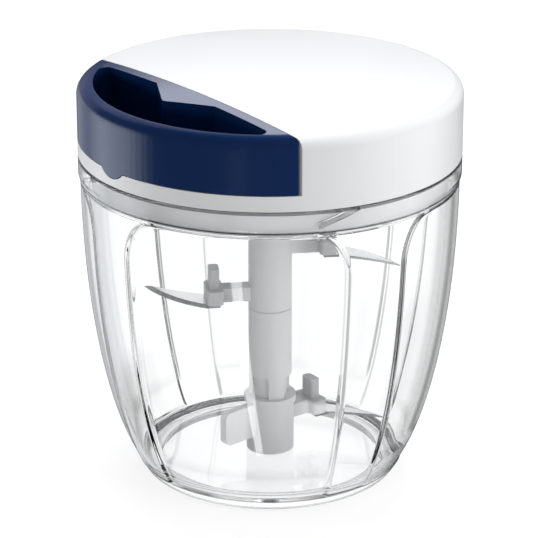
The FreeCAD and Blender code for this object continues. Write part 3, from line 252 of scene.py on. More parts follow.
# The lip between the handle's pocket and its rounded edge, in millimetres: how far from the axis the
# pocket's outer wall is and the lip's slope starts, the lip's width, and the slope at its far side.
POCKET_WALL = 59.7
LIP_START = 58.8
LIP_WIDTH = 2.0
LIP_TILT = 0.27

# The painted shade in the pocket deepens from the first height to the second, in millimetres.
POCKET_HIGH = 138.4
POCKET_LOW = 136.0


def navy_moulding():
    """The handle: dark blue and glossier than the lid, with painted shade that darkens it deep in the
    pocket.
    The lip outside the pocket falls away by t * x^2 / (2 * w), x being the distance past LIP_START, w the
    lip's width and t its slope at the far side."""
    finish = moulded("navy_moulding", NAVY_MOULDING, gloss=0.18, grain=3000.0, depth=0.000003, sway=0.08)
    out = maths(finish.tree, "SUBTRACT", finish.apart(), LIP_START * MM)
    within = maths(finish.tree, "LESS_THAN", out, (POCKET_WALL - LIP_START) * MM)
    # Painted shade: inside the pocket's wall and below its rim, the colour turns to the pocket's darker
    # blue.
    pocket_shade = finish.span(finish.along("Z"), 0.0, 1.0, POCKET_HIGH * MM, POCKET_LOW * MM)
    finish.colour(finish.mix(maths(finish.tree, "MULTIPLY", within, pocket_shade), finish.base(), NAVY_POCKET_SHADE))
    past = maths(finish.tree, "MAXIMUM", out, 0.0)
    fall = LIP_TILT / (2 * LIP_WIDTH * MM)
    sunk = maths(finish.tree, "MULTIPLY", maths(finish.tree, "MULTIPLY", past, past), -fall)
    finish.bump(sunk, strength=1.0, depth=1.0)
    finish.fix(IOR=1.52)
    return finish.material


# Where the painted shade on the blade unit's arms begins and where it is full, from the axis, in
# millimetres, and the height below which painted light replaces it, with the height that the change takes.
# It all falls towards +Y by LIGHT_LEAN of the way, so that the fin of the lower arm keeps the painted shade.
ARM_START = 9.2
ARM_FULL = 13.0
LIGHT_BELOW = 22.2
LIGHT_FADE = 1.4
LIGHT_LEAN = 0.25


def milky_moulding():
    """The blade unit: milky white plastic that lets some light into it, with painted shade along the arms
    under the lid, and painted light at the paddle and the lower arm."""
    finish = moulded("milky_moulding", MILKY_MOULDING, gloss=0.38, grain=1800.0)
    # Painted shade: away from the axis, the arms turn grey.
    arm = finish.span(finish.apart(), 0.0, 1.0, ARM_START * MM, ARM_FULL * MM)
    grey = finish.mix(arm, finish.base(), MILKY_ARMS_SHADE)
    # Painted light: low down, the arms turn lighter.
    lift = maths(finish.tree, "MULTIPLY", finish.along("Y"), LIGHT_LEAN)
    height = maths(finish.tree, "ADD", finish.along("Z"), lift)
    low = finish.span(height, 1.0, 0.0, LIGHT_BELOW * MM, (LIGHT_BELOW + LIGHT_FADE) * MM)
    finish.colour(finish.mix(maths(finish.tree, "MULTIPLY", low, arm), grey, MILKY_LOW_LIT))
    finish.fix(IOR=1.49, Subsurface_Weight=0.25)
    finish.fix(Subsurface_Radius=(0.004, 0.004, 0.0042), Subsurface_Scale=1.0)
    return finish.material


def acetal():
    """Spool, hub, pawls and bushes: dull white bearing plastic."""
    return moulded("acetal", ACETAL, gloss=0.5, grain=1500.0, depth=0.000006).material


# How sharply the painted shade on the clear wall grows where the wall is seen along itself.
GRAZE_POWER = 3.0


def clear_wall():
    """The bowl: clear and polished, with painted shade where the wall is seen along itself and along the
    panels' edges, and painted shade at its rim and in the groove under its collar."""
    finish = Finish("clear_wall")
    facing = finish.node("ShaderNodeLayerWeight")
    facing.inputs["Blend"].default_value = 0.5
    # Painted shade where the wall is seen along itself, standing in for dark refractions.
    graze_shade = maths(finish.tree, "POWER", facing.outputs["Facing"], GRAZE_POWER)
    # Painted shade along the panels' edges and in the groove, read from the mesh.
    step = finish.node("ShaderNodeAttribute", attribute_name="painted_step_shade")
    wall = finish.mix(step.outputs["Fac"], finish.tint(graze_shade, CLEAR_WALL, CLEAR_GRAZE_SHADE), CLEAR_STEP_SHADE)
    # Painted shade at the rim, where the lid's edge sits on the bowl.
    rim = finish.span(finish.along("Z"), 0.0, 1.0, (MOUTH - RIM_SHADE) * MM, (MOUTH - RIM_ROUND) * MM)
    finish.colour(finish.mix(rim, wall, CLEAR_RIM_SHADE))
    finish.fix(IOR=1.54, Transmission_Weight=1.0, Roughness=0.0)
    return finish.material


def soft_foot():
    """The foot ring: clear and soft, dulled by a fine grain."""
    finish = Finish("soft_foot")
    haze = finish.span(finish.noise(200.0), 0.0, 1.0)
    finish.colour(finish.tint(haze, shade(SOFT_FOOT, 0.97), SOFT_FOOT))
    finish.roughness(finish.span(finish.noise(900.0), 0.16, 0.24))
    finish.bump(finish.noise(1600.0), strength=0.4, depth=0.00001)
    finish.fix(IOR=1.40, Transmission_Weight=1.0)
    return finish.material


# The upright part of a blade's normal on its ground edge and on its flat.
EDGE_LEAN = 0.975
FLAT_LEAN = 0.995


def blade_steel():
    """The blades: stainless sheet, brushed along X, and darker on the ground edge, which leans."""
    finish = Finish("blade_steel")
    brushed = finish.noise(300.0, detail=4.0, rough=0.6, stretch=(1.0, 9.0, 9.0))
    flat = finish.tint(finish.span(brushed, 0.0, 1.0), shade(BLADE_STEEL, 0.93), shade(BLADE_STEEL, 1.05))
    normal = finish.node("ShaderNodeTexCoord").outputs["Normal"]
    upright = maths(finish.tree, "ABSOLUTE", finish.along("Z", normal))
    lean = finish.span(upright, 1.0, 0.0, EDGE_LEAN, FLAT_LEAN)
    finish.colour(finish.mix(lean, flat, BLADE_EDGE))
    finish.roughness(finish.span(brushed, 0.2, 0.36))
    finish.bump(brushed, strength=0.3, depth=0.000004)
    finish.fix(Metallic=1.0)
    return finish.material


def turned_steel():
    """Pins, rivets, screws and the cord's stop: steel with rings from the lathe."""
    finish = Finish("turned_steel")
    rings = finish.noise(1200.0, detail=2.0, stretch=(0.08, 0.08, 1.0))
    bright = finish.span(rings, 0.0, 1.0)
    finish.colour(finish.tint(bright, shade(TURNED_STEEL, 0.88), shade(TURNED_STEEL, 1.1)))
    finish.roughness(finish.span(rings, 0.22, 0.34))
    finish.bump(rings, strength=0.3, depth=0.000005)
    finish.fix(Metallic=1.0)
    return finish.material


def spring_steel():
    """The spiral spring: blued strip with darker patches."""
    finish = Finish("spring_steel")
    patches = finish.noise(220.0, detail=4.0)
    bright = finish.span(patches, 0.0, 1.0)
    finish.colour(finish.tint(bright, shade(SPRING_STEEL, 0.8), shade(SPRING_STEEL, 1.25)))
    finish.roughness(finish.span(patches, 0.26, 0.4))
    finish.fix(Metallic=1.0)
    return finish.material


def nylon_cord():
    """The pull cord: white braid, shown as small raised cells with painted shade in the gaps between them.
    """
    finish = Finish("nylon_cord")
    strands = finish.node("ShaderNodeTexVoronoi", feature="F1")
    strands.inputs["Scale"].default_value = 1700.0
    finish.link(finish.place, strands.inputs["Vector"])
    gap = strands.outputs["Distance"]
    # Painted shade in the gaps between the braid's cells.
    finish.colour(finish.tint(finish.span(gap, 0.0, 1.0, 0.2, 0.8), NYLON, shade(NYLON, 0.7)))
    finish.bump(gap, strength=0.6, depth=-0.00012)
    finish.fix(Roughness=0.7, Sheen_Weight=0.3, Sheen_Roughness=0.5)
    return finish.material


def silicone():
    """The sealing ring: soft, dull and slightly see-through."""
    finish = moulded("silicone", SILICONE, gloss=0.55, grain=1200.0, depth=0.000006)
    finish.fix(IOR=1.41, Subsurface_Weight=0.3)
    finish.fix(Subsurface_Radius=(0.002, 0.002, 0.002), Subsurface_Scale=1.0)
    return finish.material


SLOT_FINISHES = {
    "clear_plastic": clear_wall,
    "foot_rubber": soft_foot,
    "white_plastic": white_moulding,
    "navy_plastic": navy_moulding,
    "frosted_plastic": milky_moulding,
    "inner_plastic": acetal,
    "blade_steel": blade_steel,
    "pin_steel": turned_steel,
    "spring_steel": spring_steel,
    "cord": nylon_cord,
    "seal_rubber": silicone,
}


def dress_nodes():
    """Gives every node of the model the finish of its material slot, and returns the finishes by slot."""
    slots = {part["node"]: part["material_slot"] for part in frame["record"]["subparts"]}
    made = {slot: build() for slot, build in SLOT_FINISHES.items()}
    for name, piece in frame["nodes"].items():
        piece.data.materials.clear()
        piece.data.materials.append(made[slots[name]])
    return made


# The axis that lid, spool and blades turn about is the world's Z. Bearings are in degrees, from -Y, the
# side that the handle is pulled to, towards +X. The camera stands VIEW_DISTANCE from the axis and
# VIEW_HEIGHT up, both in millimetres, and looks down by VIEW_PITCH. VIEW_LENS is its focal length on a
# sensor VIEW_SENSOR wide, and VIEW_SHIFT moves the picture by that share of its width.
VIEW_BEARING = 52.5
VIEW_PITCH = 20.93
VIEW_DISTANCE = 904.9
VIEW_HEIGHT = 417.1
VIEW_LENS = 188.46
VIEW_SENSOR = 36.0
VIEW_SHIFT = -0.00203


def direction(bearing, pitch=0.0):
    """Unit vector at that bearing and that pitch above the horizon, both in degrees."""
    turn, rise = math.radians(bearing), math.radians(pitch)
    return Vector((math.sin(turn) * math.cos(rise), -math.cos(turn) * math.cos(rise), math.sin(rise)))


def place_camera():
    """The photograph's view."""
    data = bpy.data.cameras.new("view")
    data.lens = VIEW_LENS
    data.sensor_width = VIEW_SENSOR
    data.shift_x = VIEW_SHIFT
    data.clip_start = 0.01
    data.clip_end = 20.0
    camera = bpy.data.objects.new("view", data)
    camera.location = direction(VIEW_BEARING) * VIEW_DISTANCE * MM + Vector((0, 0, VIEW_HEIGHT * MM))
    camera.rotation_euler = (math.pi / 2 - math.radians(VIEW_PITCH), 0, math.radians(VIEW_BEARING))
    bpy.context.scene.collection.objects.link(camera)
    bpy.context.scene.camera = camera


# What clear walls show round about: white, with a soft grey stripe every STRIPE_PITCH degrees, so that the
# object looks alike from all sides. STRIPE_MIDDLE is the bearing of a white middle. Rays whose pitch has a
# sine over STEEP see white, and those that go up by over CEILING see a dark ceiling, darker still for rays
# that have passed fewer than ALONG_WALL surfaces, since these have only gone along the wall's thickness.
STRIPE_PITCH = 45.0
STRIPE_MIDDLE = 49.0
STRIPE_HALF = 8.5
STRIPE_SOFT = 14.0
STRIPE_LEVEL = 0.42
WHITE_LEVEL = 1.14
STEEP = 0.56
STEEP_SOFT = 0.16
CEILING = 0.42
CEILING_SOFT = 0.1
CEILING_LEVEL = 0.12
FAR_CEILING = 0.60
ALONG_WALL = 2.5


def clear_view(tree, bearing, rise, path):
    """How bright the surroundings look through clear walls, from a ray's bearing, the sine of its pitch
    and the number of surfaces that it has passed."""
    away = astray(tree, bearing, math.radians(STRIPE_MIDDLE), math.radians(STRIPE_PITCH))
    lit = between(tree, away, math.radians(STRIPE_HALF), math.radians(STRIPE_HALF + STRIPE_SOFT))
    level = between(tree, maths(tree, "ABSOLUTE", rise), STEEP, STEEP + STEEP_SOFT)
    stripes = maths(tree, "ADD", maths(tree, "MULTIPLY", lit, WHITE_LEVEL - STRIPE_LEVEL), STRIPE_LEVEL)
    around = choose(tree, level, stripes, WHITE_LEVEL)
    along_wall = maths(tree, "LESS_THAN", path.outputs["Transmission Depth"], ALONG_WALL)
    ceiling = choose(tree, along_wall, CEILING_LEVEL, FAR_CEILING)
    return choose(tree, between(tree, rise, CEILING, CEILING + CEILING_SOFT), around, ceiling)


# Light boxes that only reflections see, in a dim room: bearing from the camera, half width and soft edge in
# degrees, then strength, the sine of the pitch at the box's middle, its half height and soft edge in the
# same measure, and its colour. The last is a slender one that leans: its bearing grows by its last number
# of degrees for each unit that the sine falls.
ROOM_LEVEL = 0.045
LIGHT_BOXES = (
    (-104.5, 9.0, 25.0, 2.0, -0.37, 0.13, 0.06, (0.93, 1.0, 1.06)),
    (-146.0, 11.0, 17.0, 0.48, -0.37, 0.13, 0.10, (0.95, 0.98, 1.06)),
    (-146.0, 14.0, 20.0, 0.26, 0.12, 0.28, 0.14, (0.90, 0.92, 1.30)),
    (84.0, 16.0, 26.0, 1.8, -0.34, 0.07, 0.08, (1.0, 1.0, 1.0)),
    (100.0, 20.0, 14.0, 0.6, 0.00, 0.20, 0.20, (1.0, 1.0, 1.0)),
    (180.0, 7.0, 5.0, 2.3, 0.43, 0.10, 0.06, (0.95, 0.97, 1.05)),
    (-155.0, 40.0, 20.0, 0.42, 0.64, 0.14, 0.10, (0.96, 0.96, 1.10)),
    (-15.5, 2.6, 1.4, 7.5, -0.63, 0.19, 0.03, (1.0, 1.0, 1.0), 27.0),
)


def box_light(tree, bearing, rise, turn, half, soft, strength, middle, tall, fade, colour, lean=0.0):
    """What one light box adds to red, green and blue, from a ray's bearing and the sine of its pitch."""
    fallen = maths(tree, "MULTIPLY", maths(tree, "SUBTRACT", rise, middle), math.radians(lean))
    wide = window(tree, maths(tree, "ADD", bearing, fallen), VIEW_BEARING + turn, half, soft)
    away = maths(tree, "ABSOLUTE", maths(tree, "SUBTRACT", rise, middle))
    lit = maths(tree, "MULTIPLY", wide, between(tree, away, tall, tall + fade))
    return [maths(tree, "MULTIPLY", lit, strength * share) for share in colour]


# The light that falls on dull surfaces: an even part and a broad part from the right, for what stands
# outside and for what stands inside the clear bowl. The broad part's bearing, from the camera, its half
# width and its soft edge are in degrees.
FILL_LEVEL = 0.20
FILL_SIDE = 0.62
INNER_LEVEL = 0.88
INNER_SIDE = 1.35
FILL_BEARING = 58.0
FILL_HALF = 20.0
FILL_SOFT = 80.0

# A ray has met a kind of surface when its depth for that kind is over this.
ONCE = 0.5


def light_room():
    """The world: white for the eye, striped through clear walls, a dim room with light boxes for
    reflections, and a fill from the right for dull surfaces."""
    world = bpy.data.worlds.new("studio")
    bpy.context.scene.world = world
    world.use_nodes = True
    tree = world.node_tree
    tree.nodes.clear()
    split = tree.nodes.new("ShaderNodeSeparateXYZ")
    tree.links.new(tree.nodes.new("ShaderNodeTexCoord").outputs["Generated"], split.inputs[0])
    rise = split.outputs["Z"]
    bearing = maths(tree, "ARCTAN2", split.outputs["X"], maths(tree, "MULTIPLY", split.outputs["Y"], -1.0))
    room = [ROOM_LEVEL] * 3
    for box in LIGHT_BOXES:
        added = box_light(tree, bearing, rise, *box)
        room = [maths(tree, "ADD", more, level) for more, level in zip(added, room)]
    path = tree.nodes.new("ShaderNodeLightPath")
    through = maths(tree, "GREATER_THAN", path.outputs["Transmission Depth"], ONCE)
    dull = maths(tree, "GREATER_THAN", path.outputs["Diffuse Depth"], ONCE)
    side = window(tree, bearing, VIEW_BEARING + FILL_BEARING, FILL_HALF, FILL_SOFT)
    outer = maths(tree, "ADD", maths(tree, "MULTIPLY", side, FILL_SIDE), FILL_LEVEL)
    inner = maths(tree, "ADD", maths(tree, "MULTIPLY", side, INNER_SIDE), INNER_LEVEL)
    fill = choose(tree, through, inner, outer)
    clear = clear_view(tree, bearing, rise, path)
    colour = tree.nodes.new("ShaderNodeCombineColor")
    for socket, reflected in zip(colour.inputs, room):
        level = choose(tree, dull, fill, choose(tree, through, clear, reflected))
        tree.links.new(choose(tree, path.outputs["Is Camera Ray"], 1.0, level), socket)
    background = tree.nodes.new("ShaderNodeBackground")
    tree.links.new(colour.outputs[0], background.inputs["Color"])
    output = tree.nodes.new("ShaderNodeOutputWorld")
    tree.links.new(background.outputs[0], output.inputs["Surface"])


# The table: half its side in metres, how bright it glows, and the share of that glow that reaches dull
# surfaces.
TABLE_HALF = 3.0
TABLE_GLOW = 0.80
TABLE_BOUNCE = 0.40


def lay_table():
    """A plain white table: it shows as white, keeps a faint shadow, and stays out of reflections and of
    what the clear walls show."""
    mesh = bpy.data.meshes.new("table")
    corners = [(x * TABLE_HALF, y * TABLE_HALF, 0.0) for x, y in ((-1, -1), (1, -1), (1, 1), (-1, 1))]
    mesh.from_pydata(corners, [], [(0, 1, 2, 3)])
    table = bpy.data.objects.new("table", mesh)
    bpy.context.scene.collection.objects.link(table)
    finish = Finish("table_white")
    depth = finish.node("ShaderNodeLightPath").outputs["Diffuse Depth"]
    dull = maths(finish.tree, "GREATER_THAN", depth, ONCE)
    finish.fix(Base_Color=TABLE_GREY, Roughness=0.9, Specular_IOR_Level=0.0, Emission_Color=(1.0, 1.0, 1.0))
    glow = choose(finish.tree, dull, TABLE_BOUNCE * TABLE_GLOW, TABLE_GLOW)
    finish.link(glow, finish.shader.inputs["Emission Strength"])
    mesh.materials.append(finish.material)
    table.visible_glossy = False
    table.visible_transmission = False


# The height that the lamps point at, in millimetres.
LAMP_AIM = 70.0


def add_softbox(name, bearing, pitch, distance, size, power):
    """A square lamp that faces the middle of the chopper: bearing from the camera and pitch in degrees,
    distance and size in metres, power in watts."""
    data = bpy.data.lights.new(name, "AREA")
    data.shape = "SQUARE"
    data.size = size
    data.energy = power
    lamp = bpy.data.objects.new(name, data)
    aim = Vector((0, 0, LAMP_AIM * MM))
    lamp.location = aim + direction(VIEW_BEARING + bearing, pitch) * distance
    lamp.rotation_euler = (lamp.location - aim).to_track_quat("Z", "Y").to_euler()
    lamp.visible_camera = False
    lamp.visible_glossy = False
    lamp.visible_transmission = False
    bpy.context.scene.collection.objects.link(lamp)


def light_object():
    """Soft light from behind and above, from the right and, low, from the left."""
    add_softbox("top_box", bearing=180.0, pitch=72.0, distance=1.0, size=0.8, power=7.7)
    add_softbox("right_box", bearing=62.0, pitch=15.0, distance=1.1, size=0.6, power=4.4)
    add_softbox("left_box", bearing=-97.0, pitch=6.0, distance=1.1, size=0.6, power=6.0)


# The bowl in millimetres, as it is built: its wall is an ellipse about a point level with the collar's
# lower edge.
BOWL_RADIUS = 65.0
MOUTH = 114.6
COLLAR = 107.4
SWELL = 29.5
DROP = 110.5
WALL = 3.1
FOOT_TOP = 4.05
FLOOR = 5.0
UNDERSIDE = 2.6
RECESS = 37.7
FLOOR_ROUND = 8.0
RIM_ROUND = 0.8
RIM_SHADE = 1.0
STUB_RADIUS = 4.2
STUB_TOP = 12.0
PIN_BORE = 2.02
PIN_LOW = 3.2


def wall_radius(height):
    """Outer radius of the bowl: r = R - s + s * sqrt(1 - ((c - z) / d)^2) below the collar, R above it."""
    below = np.clip((COLLAR - height) / DROP, 0.0, 1.0)
    return BOWL_RADIUS - SWELL + SWELL * np.sqrt(1.0 - below * below)


def inner_corner():
    """Height and lean where the cavity's wall meets the round of its floor, found one from the other."""
    height = FLOOR + FLOOR_ROUND
    for _ in range(8):
        below = (COLLAR - height) / DROP
        lean = math.atan(SWELL * below / (math.sqrt(1.0 - below * below) * DROP))
        height = FLOOR + FLOOR_ROUND - FLOOR_ROUND * math.sin(lean)
    return height, lean


# The four arch panels, in millimetres and degrees: their number, depth and the width of their edge's slope,
# the angle of the first one's middle from +X, half angle below and above the shoulder, lower end, and where
# the shoulder bends in and ends. A fine groove runs round the collar's lower edge.
PANELS = 4
PANEL_DEPTH = 0.7
PANEL_SLOPE = 2.2
PANEL_MIDDLE = 40.9
PANEL_HALF = 35.0
NECK_HALF = 24.8
PANEL_LOW = 5.0
BEND = 90.0
CREST = 105.9
GROOVE_DEPTH = 0.06
GROOVE_HALF = 0.50


def panel_edge(height):
    """Half width of an arch panel as an angle: even up to the bend, then a quarter ellipse to the neck."""
    wide = wall_radius(BEND) * math.sin(math.radians(PANEL_HALF))
    neck = wall_radius(CREST) * math.sin(math.radians(NECK_HALF))
    climb = np.clip((height - BEND) / (CREST - BEND), 0.0, 1.0)
    half = neck + (wide - neck) * np.sqrt(1.0 - climb * climb)
    return np.where(height < BEND, math.radians(PANEL_HALF), np.arcsin(half / wall_radius(height)))


def eased(share):
    """0 below 0 and 1 above 1, and s^2 * (3 - 2 * s) between."""
    share = np.clip(share, 0.0, 1.0)
    return share * share * (3.0 - 2.0 * share)


def panel_depth(turn, height):
    """How far the wall is set in at an angle from a panel's middle: the panel's depth, eased in over the
    slope of its edge by the distance inside the arch's outline. Past the neck and over the bend, the
    outline is an ellipse, and the distance to it is (1 - e) * e / g, e being the ellipse's own radius,
    1 on the outline, and g its slope."""
    radius = wall_radius(height)
    across = np.abs(turn) * radius
    wide = math.radians(PANEL_HALF) * radius
    neck = math.radians(NECK_HALF) * radius
    tall = CREST - BEND
    along = (across - neck) / (wide - neck)
    climb = (height - BEND) / tall
    reach = np.hypot(np.maximum(along, 0.0), np.maximum(climb, 0.0))
    slope = np.hypot(np.maximum(along, 0.0) / (wide - neck), np.maximum(climb, 0.0) / tall)
    curve = (1.0 - reach) * reach / np.maximum(slope, 1e-6)
    side = np.where(climb <= 0.0, wide - across, np.where(along <= 0.0, CREST - height, curve))
    throat = np.minimum(neck - across, COLLAR - height)
    inside = np.minimum(np.maximum(side, throat), height - PANEL_LOW)
    return PANEL_DEPTH * eased(inside / PANEL_SLOPE + 0.5)


# How an outline's corners are eased: the arc's reach, its largest share of a side, and the points along it.
CORNER = 0.25
CORNER_SHARE = 0.22
CORNER_POINTS = 4


def rounded(points):
    """The points of an outline with each corner between its ends eased to a small arc, and a point on
    each side of the arc that keeps the flats flat. The arc about corner c, b and a being the ways to its
    ends, is c + (1 - t)^2 * b + t^2 * a."""
    points = np.array(points)
    corner = points[1:-1]
    before, after = points[:-2] - corner, points[2:] - corner
    before *= np.minimum(CORNER_SHARE, CORNER / np.linalg.norm(before, axis=1))[:, None]
    after *= np.minimum(CORNER_SHARE, CORNER / np.linalg.norm(after, axis=1))[:, None]
    step = np.linspace(0.0, 1.0, CORNER_POINTS)[:, None, None]
    arc = corner + (1.0 - step) ** 2 * before + step ** 2 * after
    eased_corners = np.concatenate([(corner + 2 * before)[None], arc, (corner + 2 * after)[None]])
    return np.concatenate([points[:1], eased_corners.transpose(1, 0, 2).reshape(-1, 2), points[-1:]])


# The rows of the bowl's grid, in millimetres. The first and the last are AXIS_GAP from the axis. The outer
# wall's lower corner takes its lean from a point FOOT_CORNER above the foot's top, and the wall's rows start
# FOOT_GAP above it. They are close together up to the first of two heights and even from the second.
AXIS_GAP = 0.4
FOOT_CORNER = 0.6
FOOT_GAP = 0.4
CLOSE_UP_TO = 7.0
EVEN_FROM = 8.0

# From the crest to GROOVE_ROWS above the collar's lower edge the outer rows are OUTER_STEP apart, and they
# go on OVER_GROOVE above that edge. Inside, they start UNDER_MOUTH below the mouth, reach OVER_COLLAR above
# the edge, and are INNER_STEP apart down to UNDER_CREST below the crest. The floor's flat part starts
# FLOOR_GAP within its round.
GROOVE_ROWS = 1.0
OVER_GROOVE = 1.2
OUTER_STEP = 0.15
UNDER_MOUTH = 2.0
OVER_COLLAR = 0.6
UNDER_CREST = 1.0
INNER_STEP = 0.25
FLOOR_GAP = 2.0


def bowl_rows():
    """The half section of the bowl as radii and heights, from under its middle round the rim to the
    pin's bore, and which of its rows lie on the outer wall and which on the cavity's."""
    foot_corner = FOOT_TOP + FOOT_CORNER
    under = rounded([(AXIS_GAP, UNDERSIDE), (RECESS, UNDERSIDE), (RECESS, FOOT_TOP),
                     (wall_radius(FOOT_TOP), FOOT_TOP), (wall_radius(foot_corner), foot_corner)])[:-1]
    shoulder = BEND + (CREST - BEND) * np.sin(np.linspace(0.0, math.pi / 2, num=28))
    heights = np.concatenate([
        np.linspace(FOOT_TOP + FOOT_GAP, CLOSE_UP_TO, num=14),
        np.linspace(EVEN_FROM, BEND, num=44)[:-1],
        shoulder[:-1],
        np.arange(CREST, COLLAR + GROOVE_ROWS, OUTER_STEP),
        np.linspace(COLLAR + OVER_GROOVE, MOUTH - RIM_ROUND, num=6)])
    outside = np.column_stack([wall_radius(heights), heights])
    turns = np.linspace(0.0, math.pi / 2, num=6)
    rise, run = RIM_ROUND * np.sin(turns), RIM_ROUND * np.cos(turns)
    outer_rim = np.column_stack([BOWL_RADIUS - RIM_ROUND + run, MOUTH - RIM_ROUND + rise])[1:]
    inner_rim = np.column_stack([BOWL_RADIUS - WALL + RIM_ROUND - rise, MOUTH - RIM_ROUND + run])
    low, lean = inner_corner()
    inner_heights = np.concatenate([
        np.linspace(MOUTH - UNDER_MOUTH, COLLAR + OVER_COLLAR, num=4),
        np.arange(COLLAR, CREST - UNDER_CREST, -INNER_STEP),
        shoulder[-3:0:-1],
        np.linspace(BEND, low, num=40)])
    inside = np.column_stack([wall_radius(inner_heights) - WALL, inner_heights])
    middle = wall_radius(low) - WALL - FLOOR_ROUND * math.cos(lean)
    turns = np.linspace(lean, math.pi / 2, num=14)[1:]
    corner = np.column_stack([middle + FLOOR_ROUND * np.cos(turns),
                              FLOOR + FLOOR_ROUND * (1.0 - np.sin(turns))])
    stub = rounded([(middle - FLOOR_GAP, FLOOR), (STUB_RADIUS, FLOOR), (STUB_RADIUS, STUB_TOP),
                    (PIN_BORE, STUB_TOP), (PIN_BORE, PIN_LOW), (AXIS_GAP, PIN_LOW)])
    start = len(under)
    cavity = start + len(outside) + len(outer_rim) + len(inner_rim)
    rows = np.concatenate([under, outside, outer_rim, inner_rim, inside, corner, stub])
    return rows, (start, start + len(outside)), (cavity, cavity + len(inside))


# How far the close lines of the bowl's grid reach to each side of a panel's edge, in millimetres at the
# collar.
EDGE_ZONE = 2.0


def panel_lines(edge):
    """Angles of the grid's lines over one panel and its share of the pillars, dense along the panel's
    edges: one row of angles for each value of edge."""
    zone = EDGE_ZONE / BOWL_RADIUS
    quarter = np.full_like(edge, math.pi / PANELS)
    half = np.concatenate([
        np.linspace(0.0 * edge, edge - zone, num=14, axis=1),
        np.linspace(edge - zone, edge + zone, num=14, axis=1)[:, 1:],
        np.linspace(edge + zone, quarter, num=12, axis=1)[:, 1:]], axis=1)
    return np.concatenate([-half[:, :0:-1], half[:, :-1]], axis=1)


def round_axis(radius, angle, height):
    """Points at those radii, angles and heights about the Z axis, as one long list."""
    parts = np.broadcast_arrays(radius * np.cos(angle), radius * np.sin(angle), height)
    return np.stack(parts, axis=-1).reshape(-1, 3)


def ring_faces(rings, around, first=0, turned=False):
    """Faces of a grid of closed rings of points: one between each four neighbours, and a flat one at
    each end. Turned ones face the other way."""
    grid = first + np.arange(rings * around).reshape(rings, around)
    after = np.roll(grid, -1, axis=1)
    sides = np.stack([grid[:-1], after[:-1], after[1:], grid[1:]], axis=-1).reshape(-1, 4)
    faces = sides.tolist() + [grid[0, ::-1].tolist(), grid[-1].tolist()]
    return [face[:1] + face[:0:-1] for face in faces] if turned else faces


# The closing catches inside the collar, one for each panel, in millimetres and degrees. Each starts
# CATCH_HALF before CATCH_ANGLE, where its middle is CATCH_MIDDLE high, and ends where its lower face is
# still CATCH_TAIL below CATCH_HIGH. It reaches CATCH_OVERLAP into the wall. The angle is from +X.
CATCH_INNER = 60.7
CATCH_MIDDLE = 112.6
CATCH_HIGH = 112.8
CATCH_THICK = 1.8
CATCH_ANGLE = 77.0
CATCH_HALF = 10.0
CATCH_PITCH = 132.0
CATCH_TAIL = 0.1
CATCH_OVERLAP = 0.05
CATCH_STEPS = 20


def catch_points():
    """The closing catches as rings of four corners, which climb with the turn: z = m + p * turn / 360
    for their middle, half their thickness to each side, and no higher than CATCH_HIGH."""
    last = (CATCH_HIGH + CATCH_THICK / 2 - CATCH_MIDDLE - CATCH_TAIL) * 360 / CATCH_PITCH
    turns = np.linspace(-CATCH_HALF, last, CATCH_STEPS)
    middle = CATCH_MIDDLE + CATCH_PITCH * turns / 360
    low = middle - CATCH_THICK / 2
    high = np.minimum(middle + CATCH_THICK / 2, CATCH_HIGH)
    outer = BOWL_RADIUS - WALL + CATCH_OVERLAP
    angles = np.radians(CATCH_ANGLE + turns + np.arange(PANELS)[:, None] * 360 / PANELS)
    radii = np.array((CATCH_INNER, outer, outer, CATCH_INNER))
    return round_axis(radii, angles[:, :, None], np.column_stack([low, low, high, high]))


def new_piece(name, points, faces, material):
    """A smooth mesh object at the origin from points in millimetres."""
    mesh = bpy.data.meshes.new(name)
    mesh.from_pydata((points * MM).tolist(), [], faces)
    mesh.polygons.foreach_set("use_smooth", [True] * len(mesh.polygons))
    mesh.materials.append(material)
    mesh.update()
    piece = bpy.data.objects.new(name, mesh)
    bpy.context.scene.collection.objects.link(piece)
    return piece


# How strong the painted shade of the clear wall is in the groove and on the slopes of the panels' edges, and
# the heights over which the panels fade in inside, below their crest and above the round of the floor, in
# millimetres.
GROOVE_SHADE = 1.0
STEP_SHADE = 0.50
FADE_TOP = 1.2
FADE_LOW = 6.0


